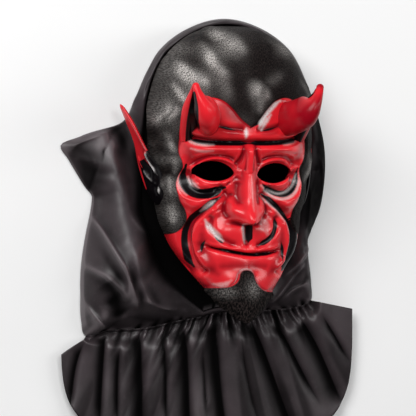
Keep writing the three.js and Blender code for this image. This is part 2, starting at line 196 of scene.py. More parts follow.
# %% [markdown]
# The real mask is cast in a soft plastic from a sculpted master. So the face is sculpted here in numbers:
# first a plain head form as a height over its outline, and then swellings, ridges and grooves that stand
# on it along its outward direction. The same few functions later say where the paint goes, so that paint
# and form agree.

# %% The plain head form
BEARD_TIP_Y = -142.0
TEMPLE_Y = 40.0
HALF_WIDTH = 76.0
CROWN_BEND, CROWN_ROUND = 2.25, 2.2  # how late and how roundly the sides close over the crown
JAW_BEND, JAW_TAPER = 2.35, 0.82
JOWL_WIDTH, JOWL_Y, JOWL_TALL = 3.0, -76.0, 26.0
FOREHEAD_DEPTH, FOREHEAD_BEND = 97.0, 2.6
MIDFACE_SET_BACK, SET_BACK_TALL = 13.0, 100.0
JAW_Y = -48.0
JAW_SLOPE = 0.8
JAW_EASE = 8.0
SECTION_POWER = 2.3
EDGE_BAND = 3.0
WALL = 2.2


def half_width(y):
    up = np.clip((y - TEMPLE_Y) / (CROWN_Y - TEMPLE_Y), 0, 1)
    down = np.clip((TEMPLE_Y - y) / (TEMPLE_Y - BEARD_TIP_Y), 0, 1)
    above = HALF_WIDTH * (1 - up**CROWN_BEND) ** (1 / CROWN_ROUND)
    below = HALF_WIDTH * (1 - down**JAW_BEND) ** JAW_TAPER + JOWL_WIDTH * bell((y - JOWL_Y) / JOWL_TALL)
    return np.where(y > TEMPLE_Y, above, below)


def middle_depth(y):
    """How far the head stands out along its middle line."""
    up = np.clip((y - TEMPLE_Y) / (CROWN_Y - TEMPLE_Y), 0, 1)
    above = FOREHEAD_DEPTH * (1 - up**FOREHEAD_BEND) ** (1 / CROWN_ROUND)
    below = FOREHEAD_DEPTH - MIDFACE_SET_BACK * smooth((TEMPLE_Y - y) / SET_BACK_TALL)
    return np.where(y > TEMPLE_Y, above, below)


def edge_height(y):
    """How high the shell's back edge runs: flat on the panel, and rising below the jaw."""
    below = JAW_Y - y
    return JAW_SLOPE / 2 * (below + np.hypot(below, JAW_EASE))


def head_height(x, y, inset=0.0):
    across = np.clip(np.abs(x) / np.maximum(half_width(y) - inset, 0.1), 0, 1)
    low = edge_height(y) + EDGE_BAND
    high = np.maximum(middle_depth(y) - inset, low + 0.5)
    return low + (high - low) * (1 - across**SECTION_POWER) ** (1 / SECTION_POWER)


def head_normal(x, y):
    """The head's outward direction, from its slopes over a small step."""
    step = 1.5
    slope_x = (head_height(x + step, y) - head_height(x - step, y)) / (2 * step)
    slope_y = (head_height(x, y + step) - head_height(x, y - step)) / (2 * step)
    normal = np.stack([-slope_x, -slope_y, np.ones_like(slope_x)], axis=-1)
    return normal / np.linalg.norm(normal, axis=-1, keepdims=True)


print("forehead stands", float(head_height(np.array(0.0), np.array(40.0))), "mm high")

# %% Strokes over the face
class Stroke:
    """A curved line with a half width, a height (negative for a groove) and ends that fade."""

    margin = 6  # how many half widths beyond its line it can reach
    thin_end = 0.25  # how wide the ends of a painted stroke are, as a share of its middle

    def __init__(self, half, height, *points, ends=0.12):
        self.half = half
        self.height = height
        self.ends = ends  # the share of its length over which each end fades
        self.line = spline(points)

    def reach(self, x, y):
        """Distance to the line, the share passed at its nearest place, and 1 on its left hand or -1."""
        nearest = np.full(x.shape, 1e9)
        share = np.zeros(x.shape)
        hand = np.ones(x.shape)
        low = self.line.min(axis=0) - self.margin * self.half
        high = self.line.max(axis=0) + self.margin * self.half
        near = (x > low[0]) & (x < high[0]) & (y > low[1]) & (y < high[1])
        px, py = x[near], y[near]
        best = np.full(px.shape, 1e9)
        where = np.zeros(px.shape)
        beside = np.ones(px.shape)
        spans = len(self.line) - 1
        for i in range(spans):
            a, b = self.line[i], self.line[i + 1]
            along = b - a
            t = np.clip(((px - a[0]) * along[0] + (py - a[1]) * along[1]) / (along @ along), 0, 1)
            far = np.hypot(px - a[0] - t * along[0], py - a[1] - t * along[1])
            closer = far < best
            best = np.where(closer, far, best)
            where = np.where(closer, (i + t) / spans, where)
            turned = np.sign(along[0] * (py - a[1]) - along[1] * (px - a[0]))
            beside = np.where(closer, turned, beside)
        nearest[near] = best
        share[near] = where
        hand[near] = beside
        return nearest, share, hand

    def fade(self, share):
        return smooth(share / self.ends) * smooth((1 - share) / self.ends) if self.ends else 1.0

    def rise(self, x, y):
        far, share, _ = self.reach(x, y)
        return self.height * bell(far / self.half) * self.fade(share)

    def paint(self, x, y, soft):
        """1 on the stroke, 0.5 along its edge, falling to 0 over a soft width."""
        far, share, _ = self.reach(x, y)
        half = self.half * lerp(self.thin_end, 1, self.fade(share))
        return np.clip(0.5 + (half - far) / soft, 0, 1)


class Crease(Stroke):
    """A pulled fold of cloth: a sharp line, gentle on its left hand and steep on its right."""

    margin = 16
    gentle, steep = 2.4, 1.0  # how many half widths its two sides run out over
    dark_gentle, dark_steep = 3.5, 0.3  # and the painted shade on them
    edge = 0.6  # millimetres over which the line itself is rounded
    deep = 5  # a fold this high gets the darkest painted shade

    def rise(self, x, y):
        far, share, hand = self.reach(x, y)
        reach = np.where(hand > 0, self.gentle, self.steep) * self.half
        return self.height * np.exp(-(np.hypot(far, self.edge) - self.edge) / reach) * self.fade(share)

    def shade(self, x, y):
        """The fold's painted shade where it turns from the light: wide on its gentle side, hardly any on
        its steep one.
        """
        far, share, hand = self.reach(x, y)
        reach = np.where(hand > 0, self.dark_gentle, self.dark_steep) * self.half
        return min(self.height / self.deep, 1) * bell(far / reach) * self.fade(share)


class Swelling:
    """A rounded swelling on the face, or a hollow where its height is negative."""

    def __init__(self, x, y, wide, tall, height, turn=0.0):
        self.x, self.y, self.wide, self.tall, self.height = x, y, wide, tall, height
        self.cos, self.sin = math.cos(math.radians(turn)), math.sin(math.radians(turn))

    def rise(self, x, y):
        across = (x - self.x) * self.cos + (y - self.y) * self.sin
        up = -(x - self.x) * self.sin + (y - self.y) * self.cos
        return self.height * bell(np.hypot(across / self.wide, up / self.tall))


def line_through(places):
    """A line that is only there to measure the distance to it, however far."""
    line = Stroke(200, 0, *places[:2])
    line.line = places
    return line


print("a crease's gentle side is", Crease.gentle / Crease.steep, "times as wide as its steep one")

# %% The face's forms, one side that the other mirrors
FACE_FORMS = {
    "eye_socket": Swelling(29, -3, 24, 12.5, -8),
    "brow_pad": Swelling(32, 17, 22, 6.5, 5, -4),
    "glabella": Swelling(0, 12, 6, 13, 3),
    "nose_tip": Swelling(0, -42, 8.5, 8, 8),
    "nose_wing": Swelling(12, -37.5, 6, 7, 8),
    "nostril": Swelling(8, -49.5, 4, 3.2, -3),
    "lip_cushion": Swelling(20, -59, 17, 12.5, 6),
    "lower_lip": Swelling(0, -86, 20, 6.5, 1.3),
    "lower_lip_lobe": Swelling(25, -84, 10, 8, 2.4),
    "chin": Swelling(0, -106, 20, 15, 4.6),
    "temple": Swelling(62, 45, 10, 20, -2),
    "cheekbone": Stroke(6, 4, (59, 4), (58, -14), (50, -29), (38, -34), (25, -29), ends=0),
    "eye_bag": Stroke(4.5, 2.8, (16, -13.5), (30, -18.5), (44, -14), ends=0),
    "smile_fold": Stroke(4.2, 3.6, (28, -40), (38.5, -51), (42.5, -65), (40.5, -80), (33, -91), ends=0),
    "jowl": Stroke(4, 3, (55, -50), (56.5, -60), (54, -72), (47, -85), (36, -98), ends=0),
    "brow_edge": Stroke(4.5, 0.8, (0, 29.5), (30, 30.5), (52, 34), ends=0),
    "brow_crease": Stroke(3.2, -7.5, (0, 23), (28, 23.5), (46, 26), (55, 29), ends=0),
    "lid_crease": Stroke(2.6, -3.4, (9, 4), (20, 9.5), (33, 11), (47, 7), (54, 0), ends=0.2),
    "lid_fold": Stroke(1.6, 1.3, (12, 2), (22, 6.8), (34, 8), (46, 4.5), ends=0.2),
    "eye_crescent": Stroke(
        4.2, -6.5, (53.5, 1), (53, -11), (49, -19.5), (42, -24), (33, -23.5), (25, -20.5), (19, -17),
        ends=0.12,
    ),
    "crescent_lip": Stroke(1.8, 1.4, (57.5, 0), (58, -12), (52.5, -24.5), (42, -29), (31, -28)),
    "cheek_fold": Stroke(
        3.7, -7.5, (19, -25), (29, -31.5), (38.5, -40), (46, -48), (48.8, -59), (48.8, -71), (46, -83),
        (41, -91.5), (36, -96), ends=0,
    ),
    "philtrum": Stroke(3.2, -5, (0, -53), (0, -69), ends=0),
    "lip_fold": Stroke(2.9, -3.2, (30, -46), (29, -56), (22.5, -65), (12, -71), ends=0),
    # The mouth's line runs on past the middle, so that it fades at the corner alone.
    "mouth": Stroke(
        1.7, -6, (36.5, -72.5), (29.5, -76), (17, -78.3), (6, -79.7), (0, -80), (-12, -79), ends=0.2,
    ),
    "upper_lip_edge": Stroke(2.4, 0.8, (35, -69), (27, -72.5), (14, -75), (0, -76.3)),
    "chin_crease": Stroke(6, -0.8, (0, -92.5), (14, -92.5), (25, -92), ends=0.3),
    "corner_crease": Stroke(3.0, -2.2, (37, -68), (38.5, -76), (37.5, -84), ends=0.35),
}
FINE_FORMS = {
    "forehead_crease": Stroke(2.6, -2.2, (5, 35), (18, 36), (32, 40)),
    "forehead_fold": Stroke(1.6, 0.9, (4, 31), (12, 33), (22, 33), (30, 36.5), ends=0.3),
    "frown": Stroke(1.9, -2.8, (5.2, 22), (7, 11), (12, 1)),
    "frown_edge": Stroke(1.2, 0.9, (8.2, 20), (10, 12), (14, 4)),
    "bridge_side": Stroke(1.2, -1.5, (3.4, 19), (3.4, 4), (3.8, -3)),
    "bridge_edge": Stroke(0.9, 0.9, (2, 20), (1.8, 2), (2, -6)),
    "bridge_step": Stroke(0.8, -0.8, (-4, -4.5), (4, -4.5)),
    "wing_crease": Stroke(1.9, -3.2, (11, -23), (18, -30), (19, -40), (14.5, -47)),
    "wing_edge": Stroke(1.0, 1, (12, -26), (16.2, -31), (16.8, -39), (13.5, -45)),
    "nose_side": Stroke(2.2, -1.8, (9, -12), (9.5, -24), (8, -33)),
    "nose_wart": Swelling(-14.5, -20, 2, 2, 1.4),
    "inner_corner": Stroke(1.3, -1.6, (14, -12), (21, -18.5), (32, -21.5)),
    "bag_line": Stroke(1.1, -1.3, (18, -15.5), (30, -20), (42, -17.5), (48, -11)),
    "bag_line_low": Stroke(1, -0.9, (26, -16.5), (37, -17.5), (46, -10.5)),
    "crow_foot": Stroke(1.1, -1.2, (50, -5), (52.5, -10), (50, -17)),
    "brow_wrinkle": Stroke(1.4, -1, (20, 14), (34, 15), (50, 13)),
    "fold_edge": Stroke(1.2, 1.0, (25, -35), (34, -42), (42, -51), (43.8, -60), (43, -72)),
    "fold_line": Stroke(1, -0.8, (22, -37), (31, -44), (37.5, -52)),
}
print(len(FACE_FORMS) + len(FINE_FORMS), "forms on the face")

# %% The nose ridge and the eye holes
NOSE_TOP_Y, NOSE_TIP_Y, NOSE_END_Y = 22.0, -46.0, -52.0
NOSE_RISE_TOP, NOSE_RISE_TIP, NOSE_BEND = 2.5, 17.0, 1.2
NOSE_HALF_TOP, NOSE_HALF_TIP = 5.0, 10.0
NOSE_FADE = 8.0
EYE_X, EYE_Y, EYE_HALF, EYE_UPPER, EYE_LOWER = 29.0, -4.1, 18.7, 9.8, 9.0
EYE_TILT = 0.9  # the left eye sits this much higher, the right one as much lower
EYE_SLANT, EYE_POWER = math.radians(5), 0.66


def nose_rise(x, y):
    down = np.clip((NOSE_TOP_Y - y) / (NOSE_TOP_Y - NOSE_TIP_Y), 0, 1)
    rise = lerp(NOSE_RISE_TOP, NOSE_RISE_TIP, down**NOSE_BEND)
    half = lerp(NOSE_HALF_TOP, NOSE_HALF_TIP, down)
    start = smooth((NOSE_TOP_Y + NOSE_FADE / 2 - y) / NOSE_FADE)
    end = smooth((y - NOSE_END_Y) / (NOSE_TIP_Y - NOSE_END_Y))
    return rise * start * end * bell(x / half)


def eye_edge(x, y):
    """How far a place is outside the eye hole, in millimetres."""
    dx, dy = x - EYE_X, y - EYE_Y
    along = dx * math.cos(EYE_SLANT) + dy * math.sin(EYE_SLANT)
    up = -dx * math.sin(EYE_SLANT) + dy * math.cos(EYE_SLANT)
    share = np.clip(1 - (along / EYE_HALF) ** 2, 0, 1)
    bulge = np.where(up > 0, EYE_UPPER, EYE_LOWER)
    return np.maximum(np.abs(up) - bulge * share**EYE_POWER, np.abs(along) - EYE_HALF)


print("nose tip rises", round(float(nose_rise(0.0, NOSE_TIP_Y)), 1), "mm")

# %% The edges of the hair and of the goatee
HAIRLINE = spline([
    (0, 38), (8.5, 45), (16, 54), (24, 61.5), (33, 65), (41, 64.5), (48, 60), (53.5, 50), (57.5, 39),
    (60, 29), (61, 20), (60.6, 13), (57.8, 6), (55.8, 0), (57.7, -6.5), (59.7, -14), (58.8, -22),
    (55.8, -31), (51.2, -39), (49.3, -48), (53, -56), (60, -61), (76, -64),
])
SKIN_CORNERS = [(76, -160), (-1, -160), (-1, 38)]  # they close the hairline round the skin
GOATEE = spline([
    (-45, -112), (-30, -111.5), (-18, -110.5), (-12, -107.5), (-8.8, -103), (-7.6, -98.5), (-5, -95.6),
    (-1, -94.8), (3, -95.8), (5.4, -98.8), (6.4, -103.5), (10.5, -110), (17, -114), (28, -115.5),
    (45, -115),
])
CHIN_CORNERS = [(60, -160), (-60, -160)]  # they close the goatee's edge below the chin
HAIR_RISE, GOATEE_RISE = 2.2, 3.0
hair_edge = line_through(HAIRLINE)
goatee_edge = line_through(GOATEE)


def inside(corners, x, y):
    """Whether places are inside a closed outline."""
    hit = np.zeros(x.shape, dtype=bool)
    for (ax, ay), (bx, by) in zip(corners, np.roll(corners, -1, axis=0)):
        if ay == by:
            continue
        crosses = (ay > y) != (by > y)
        hit ^= crosses & (x < ax + (y - ay) / (by - ay) * (bx - ax))
    return hit


def hair_depth(x, y):
    """How far a place is inside the modelled hair, in millimetres, negative on the skin."""
    far = hair_edge.reach(x, y)[0]
    skin = inside(np.vstack([HAIRLINE, SKIN_CORNERS]), x, y)
    return np.where(skin, -far, far)


def goatee_depth(signed_x, y):
    """The same for the goatee: a narrow tongue below the lip that spreads over the chin."""
    far = goatee_edge.reach(signed_x, y)[0]
    within = inside(np.vstack([GOATEE, CHIN_CORNERS]), signed_x, y)
    return np.where(within, far, -far)


print("hairline runs through", len(HAIRLINE), "places")

# %% [markdown]
# The hair is part of the same casting: broad combed waves that run back from the brow, with fine strands
# on them. The waves are noise in coordinates round the brow and away from it, so that they follow the
# combing. The strands are finer than the mesh, so the material draws them as bump in the same
# coordinates.

# %% Combed waves in the hair
COMB_X, COMB_Y, COMB_RADIUS = 0.0, 8.0, 70


def comb(x, y):
    """Coordinates in the hair, in millimetres: across the strands, and along them."""
    dx, dy = x - COMB_X, y - COMB_Y
    turn = np.arctan2(dx, dy)
    return turn * COMB_RADIUS, np.hypot(dx, dy)


def hair_lock(half, height, *places):
    """A wave of hair, or a hollow between two, that fades over much of its length."""
    return Stroke(half, height, *places, ends=0.4)


HAIR_LOCKS = [
    hair_lock(6.5, 3.2, (-2, 100), (-10, 113), (-20, 125), (-28, 131)),
    hair_lock(5, 3.4, (-19, 80), (-28, 95), (-36, 110), (-42, 122)),
    hair_lock(5, 3.0, (-38, 72), (-46, 82), (-54, 93), (-63, 99)),
    hair_lock(4, 2.8, (-52, 52), (-57, 62), (-63, 75), (-66, 81)),
    hair_lock(3.4, 2.0, (-70, 34), (-73, 50), (-73, 67)),
    hair_lock(2.8, 1.8, (-64, 38), (-66.5, 52), (-68, 60)),
    hair_lock(2.8, 2.0, (-63, 10), (-66, 24), (-69, 38)),
    hair_lock(2.8, 1.8, (-64, -8), (-63.5, 3), (-65, 14)),
    hair_lock(2.8, 1.8, (-65, -27), (-67.5, -14), (-69, -4)),
    hair_lock(3.4, 1.8, (-60, -58), (-64, -42), (-67, -26)),
    hair_lock(6.5, 3.4, (9, 46), (9, 60), (7, 72), (3, 84)),
    hair_lock(4.5, 1.2, (16, 76), (28, 84), (42, 90)),
    hair_lock(7, 2.0, (24, 117), (46, 108), (69, 92)),
    hair_lock(4, 1.8, (60, 86), (68, 71), (71, 58)),
    hair_lock(3.2, 1.8, (71, 20), (67, 3), (61, -18)),
    Swelling(16, 97, 34, 9, -3.2, -8),
    Swelling(-20, 72, 14, 9, -2.2, -30),
    hair_lock(3.5, -1.8, (-12, 86), (-21, 103), (-28, 122)),
    hair_lock(3.5, -1.8, (-34, 74), (-43, 91), (-53, 108)),
]


HAIR_SWAY = 4
HAIR_GRAIN = ((13, 30, 1, 0.8), (4.6, 18, 2, 0.4), (2.2, 10, 4, 0.15))  # width, length, seed and height


def hair_waves(signed_x, y):
    across, along = comb(signed_x, y)
    sway = HAIR_SWAY * noise(along / 22, across / 40, 3)
    waves = sum(lock.rise(signed_x, y) for lock in HAIR_LOCKS)
    for wide, long, seed, height in HAIR_GRAIN:
        waves = waves + height * noise((across + sway) / wide, along / long, seed)
    return waves


print(len(HAIR_LOCKS), "locks of hair")

# %% The whole relief
DRIFT = 2.3  # the sculptor's eyes and cheeks both sit this much to the left
MOUTH_TILT, MOUTH_Y = 0.07, -78
LID_RIM, LID_AWAY = 1.7, 1.8  # the raised rim round an eye hole, and how far it is from the hole


def drift(signed_x, y):
    """A place's x on the even face, on which both halves are drawn alike."""
    return signed_x + DRIFT * smooth((12 - y) / 20) * smooth((np.abs(signed_x) - 4) / 12)


def beard_locks(signed_x, y):
    return noise(signed_x / 7, y / 16, 6) + 0.5 * noise(signed_x / 3, y / 9, 7)


def relief(signed_x, y):
    """How far the modelled face stands proud of the plain head form."""
    x = np.abs(drift(signed_x, y))
    y = y + MOUTH_TILT * np.clip(signed_x, -35, 35) * bell((y - MOUTH_Y) / 12)
    out = nose_rise(x, y)
    for form in (*FACE_FORMS.values(), *FINE_FORMS.values()):
        out = out + form.rise(x, y)
    from_eye = eye_edge(x, y + EYE_TILT * np.clip(signed_x / 10, -1, 1))
    out = out + LID_RIM * bell((from_eye - LID_AWAY) / LID_RIM)
    hair = smooth(0.5 + hair_depth(x, y) / 2)
    beard = smooth(0.5 + goatee_depth(signed_x, y) / 2)
    skin = out + (GOATEE_RISE + beard_locks(signed_x, y)) * beard
    return lerp(skin, HAIR_RISE + hair_waves(signed_x, y) * smooth(2 * hair - 1), hair)


nose_tip = relief(np.array([0.0]), np.array([NOSE_TIP_Y]))
print("nose tip stands", nose_tip.round(1), "mm proud of the head")

# %% [markdown]
# The outside is one grid laid over the head's outline, so it has no pole, with most of its lines on the
# face. Its rim is extruded down to the back edge and then inwards in rings, which closes it. A second,
# coarser form is the inside. Taking it away leaves the thin shell.

# %% Head forms as closed meshes
RIM_RINGS = (1.0, 0.94, 0.7, 0.35)  # how far in each ring behind the rim lies, as a share of the outline


def crowd(t, low, high, share):
    """Spends most of a grid's lines between low and high."""
    before = (1 - share) * (low + 1) / (low + 2 - high)
    at = (t + 1) / 2
    start = -1 + at / before * (low + 1)
    middle = low + (at - before) / share * (high - low)
    end = high + (at - before - share) / (1 - before - share) * (1 - high)
    return np.where(at < before, start, np.where(at > before + share, end, middle))


def on_plan(u, v, inset, lowest):
    """A square sheet from -1 to 1 laid over the head's outline."""
    p = u * np.sqrt(1 - v * v / 2)
    q = v * np.sqrt(1 - u * u / 2)
    radius = np.minimum(np.hypot(p, q), 1)
    spread = np.where(radius > 1e-9, np.sin(radius * math.pi / 2) / np.maximum(radius, 1e-9), math.pi / 2)
    top = CROWN_Y - inset
    up = np.clip(q * spread, -1, 1)
    y = (top + lowest) / 2 + (top - lowest) / 2 * up
    across = np.clip(p * spread / np.sqrt(np.maximum(1 - up * up, 1e-9)), -1, 1)
    return across * np.maximum(half_width(y) - inset, 0.4), y


def closed_form(columns, rows, place, back_height):
    """A grid reshaped by place, closed behind by rings that run inwards at back_height."""
    bm = bmesh.new()
    bmesh.ops.create_grid(bm, x_segments=columns, y_segments=rows, size=1)
    flat = coordinates(bm)
    move_to(bm, place(flat[:, 0], flat[:, 1]))
    rim = [e for e in bm.edges if e.is_boundary]
    last = RIM_RINGS[0]
    for scale in RIM_RINGS:
        made = bmesh.ops.extrude_edge_only(bm, edges=rim)["geom"]
        rim = [g for g in made if isinstance(g, bmesh.types.BMEdge) and g.is_boundary]
        for v in (g for g in made if isinstance(g, bmesh.types.BMVert)):
            v.co.x *= scale / last
            v.co.y *= scale / last
            v.co.z = back_height(v.co.y)
        last = scale
    verts = list({v for e in rim for v in e.verts})
    bmesh.ops.pointmerge(bm, verts=verts, merge_co=(0, 0, back_height(0.0)))
    bmesh.ops.recalc_face_normals(bm, faces=bm.faces)
    return bm


print("the rim is closed in", len(RIM_RINGS), "rings")

# %% The outside and the inside of the shell
OUTER_GRID, OUTER_CROWD_X, OUTER_CROWD_Y = (224, 302), (-0.76, 0.76, 0.86), (-0.64, 0.34, 0.82)
INNER_GRID, INNER_CROWD_X, INNER_CROWD_Y = (64, 84), (-0.56, 0.56, 0.7), (-0.5, 0.24, 0.66)
INNER_TIP_IN = 14  # the hollow ends this far above the beard's tip
RIM_SHARE = 0.05  # the relief fades out over this share of the sheet along its rim
NOSE_DROOP = Swelling(0, -45, 9, 8, -3.5)


def edge_fade(u, v):
    return smooth((1 - np.maximum(np.abs(u), np.abs(v))) / RIM_SHARE)


def outer_place(u, v):
    u, v = crowd(u, *OUTER_CROWD_X), crowd(v, *OUTER_CROWD_Y)
    x, y = on_plan(u, v, 0, BEARD_TIP_Y)
    rise = relief(x, y) * edge_fade(u, v)
    places = np.stack([x, y + NOSE_DROOP.rise(x, y), head_height(x, y)], axis=-1)
    return places + head_normal(x, y) * rise[:, None]


def outer_back(y):
    return float(edge_height(y))


def lowest_relief(x, y, reach):
    """The lowest relief near a place, so that the shell is nowhere thinner than its wall."""
    turns = np.arange(8) * math.pi / 4
    around = [relief(x + reach * math.cos(t), y + reach * math.sin(t)) for t in turns]
    return np.minimum.reduce([relief(x, y), *around])


def inner_place(u, v):
    u, v = crowd(u, *INNER_CROWD_X), crowd(v, *INNER_CROWD_Y)
    x, y = on_plan(u, v, WALL, BEARD_TIP_Y + INNER_TIP_IN)
    rise = lowest_relief(x, y, 3.0) * edge_fade(u, v)
    places = np.stack([x, y, head_height(x, y, WALL)], axis=-1)
    return places + head_normal(x, y) * rise[:, None]


def inner_back(y):
    """Well below the outer form's back, so that the hollow opens behind."""
    return float(edge_height(y)) - 4 * WALL


print("the outside has", OUTER_GRID[0] * OUTER_GRID[1], "faces on the front")

# %% [markdown]
# Each horn is a fat strand that leaves the brow forwards and curls up and outwards, with a slimmer strand
# that runs up its outer side. A sphere's rings are laid along a curve, and its poles close the two ends.

# %% Horns
def bezier(points, t):
    """Places along a Bezier curve of three or four points."""
    points = [np.array(p, dtype=float) for p in points]
    t = np.asarray(t, dtype=float)[..., None]
    while len(points) > 1:
        points = [a + (b - a) * t for a, b in zip(points, points[1:])]
    return points[0]


def bezier_direction(points, t):
    step = 0.002
    t = np.clip(np.asarray(t, dtype=float), step, 1 - step)
    way = bezier(points, t + step) - bezier(points, t - step)
    return way / np.linalg.norm(way, axis=-1, keepdims=True)


HORN = {
    "path": [(37.3, 45.5, 66), (35.8, 45, 108), (53.5, 48, 133), (58.7, 74, 125.3)],
    "base": 16,
    "tip": 3.2,
    "flat": 0.68,
}
STRAND = {
    "path": [(51, 17, 56), (56, 36, 72), (60.2, 57, 100), (59.4, 74.5, 122.5)],
    "base": 6.2,
    "tip": 2.0,
    "flat": 1,
}
WEB = {
    "path": [(47, 26, 56), (51, 43, 80), (56, 58, 101), (58, 72, 118.5)],
    "base": 7.4,
    "tip": 1.8,
    "flat": 1,
}
OUTWARD = np.array([1.0, 0.0, 0.0])
TAPER_START, TAPER_LONG = 0.55, 0.45
CAP = 0.07  # the share of a sphere's height that closes each end


def horn_radius(horn, t):
    """Thick for more than half its length, then quickly slimmer."""
    return horn["tip"] + (horn["base"] - horn["tip"]) * (1 - smooth((t - TAPER_START) / TAPER_LONG))


def horn_paint(horn, t, turn):
    """Black where the horn and its strand face each other, and all over the web between them."""
    outward = np.sin(turn)
    if horn is HORN:
        black = smooth((outward - 0.62) / 0.25)
    elif horn is STRAND:
        black = smooth((0.42 - outward) / 0.35)
    else:
        black = np.ones_like(t)
    return black * smooth((0.98 - t) / 0.08) * smooth((t - 0.12) / 0.1)


def horn_mesh(horn, side, around, rings, inset=0.0, start=0.0, stop=1.0):
    """A strand of a horn, or its hollow when it is inset by a wall, with its black paint per vertex."""
    bm = bmesh.new()
    bmesh.ops.create_uvsphere(bm, u_segments=around, v_segments=rings, radius=1)
    ball = coordinates(bm)
    level = np.arcsin(np.clip(ball[:, 2], -1, 1)) / math.pi + 0.5
    turn = np.arctan2(ball[:, 1], ball[:, 0])
    t = start + (stop - start) * np.clip((level - CAP) / (1 - 2 * CAP), 0, 1)
    round_end = np.clip((level - 1 + CAP) / CAP, 0, 1) * math.pi / 2
    shut = np.clip(level / CAP, 0, 1) ** 0.5 * np.cos(round_end)
    shut = np.where(np.hypot(ball[:, 0], ball[:, 1]) < 1e-6, 0, shut)
    flat = lerp(horn["flat"], 1.0, smooth((t - 0.75) / 0.25))
    bumps = 0 if inset else 0.25 * noise(turn * 1.5, t * 6, 5) * shut
    radius = horn_radius(horn, t)
    way = bezier_direction(horn["path"], t)
    beside = OUTWARD - way * (way @ OUTWARD)[:, None]
    beside = beside / np.linalg.norm(beside, axis=-1, keepdims=True)
    normal = np.cross(way, beside)
    places = bezier(horn["path"], t) + way * (horn["tip"] * np.sin(round_end))[:, None]
    places = places + normal * (((radius - inset) * shut + bumps) * np.cos(turn))[:, None]
    places = places + beside * (((radius * flat - inset) * shut + bumps) * np.sin(turn))[:, None]
    places[:, 0] *= side
    move_to(bm, places)
    bmesh.ops.recalc_face_normals(bm, faces=bm.faces)
    return bm, horn_paint(horn, t, turn)


print("a horn is", 2 * HORN["base"], "mm across at its base")

# %% [markdown]
# The ears are cupped leaves that run up to a point. The left one stands off the head. The right one lies
# along it, beside the hood's edge, and is plainer. The left one's folds are the same swellings and
# grooves as on the face, in the ear's own coordinates.

# %% Ears
EARS = [
    {
        "side": -1,
        "path": [(70, -34, 25), (76, 8, 29), (105.5, 60.5, 19)],
        "wide": 16,
        "thick": 2.6,
        "swing": 12,
        "cup": 3.5,
        "bowl": 2.2,
        "grid": (84, 112),
    },
    {
        "side": 1,
        "path": [(71, -34, 22), (80.5, 8, 22.5), (78.5, 56, 12)],
        "wide": 13,
        "thick": 2.4,
        "swing": 4,
        "cup": -1,
        "bowl": 0.8,
        "grid": (50, 58),
    },
]
EAR_LONG, EAR_HALF = 95.0, 16.0  # the leaf on which the folds and strokes below are drawn
EAR_RIDGES = [
    Stroke(1.7, 2.4, (9.6, 53), (4.3, 48), (2.6, 42), (9, 36), (10.5, 30), ends=0.15),
    Stroke(1.6, 2.0, (-10, 37), (-7, 29), (-1, 24), (5, 21), ends=0.15),
    Stroke(1.3, 1.4, (-12, 50), (-9.6, 36), ends=0.3),
    Swelling(10.5, 14, 4.5, 6, 2.2),
    Swelling(-4, 14, 7, 5, 1.4),
]
EAR_HOLLOWS = [Swelling(-1, 37, 6, 9, -3.4), Stroke(1.5, -1.6, (3, 20), (4, 8), ends=0.3)]
# Painted highlights on the ear's ridges, its lobe and the blade's edge.
EAR_HIGHLIGHTS = [
    (1.0, Stroke(1.3, 0, (9.6, 52), (4.6, 48), (3, 42), (8.6, 36.5), (10, 31), ends=0.2)),
    (0.5, Stroke(0.5, 0, (-9.5, 35), (-6.5, 28.5), (-1, 24), ends=0.3)),
    (1.0, Stroke(1.7, 0, (10, 18), (11, 12), ends=0.4)),
    (0.85, Stroke(0.9, 0, (9, 88), (11.5, 76), (13, 62), (13, 51), ends=0.2)),
]
EAR_RED = [Stroke(0.9, 0, (-12.6, 50), (-10.4, 37), ends=0.2), Stroke(0.8, 0, (-4, 46), (-2, 38), ends=0.3)]


def ear_paint(ear, places, along, side, front):
    """An ear's black paint and painted highlights, and the hair that its root runs into, per vertex."""
    shows = ear["side"] < 0
    drawn_at = (side * EAR_HALF, along * EAR_LONG)
    rim = smooth((-side - 0.78) / 0.12) * smooth((along - 0.14) / 0.06)
    red = np.maximum.reduce([rim, *(stroke.paint(*drawn_at, 1.0) * shows for stroke in EAR_RED)])
    black = smooth((0.53 - along + 0.06 * side) / 0.05) * (1 - red)
    pale = np.maximum.reduce([level * stroke.paint(*drawn_at, 1.2) for level, stroke in EAR_HIGHLIGHTS]) * front
    x, y = np.abs(places[:, 0]), places[:, 1]
    beside = np.minimum(x, half_width(y) - 0.5)
    at_root = (x < half_width(y) + 1.5) & (places[:, 2] < head_height(beside, y) + 4)
    return black, pale * shows, np.where(at_root, black, 0)


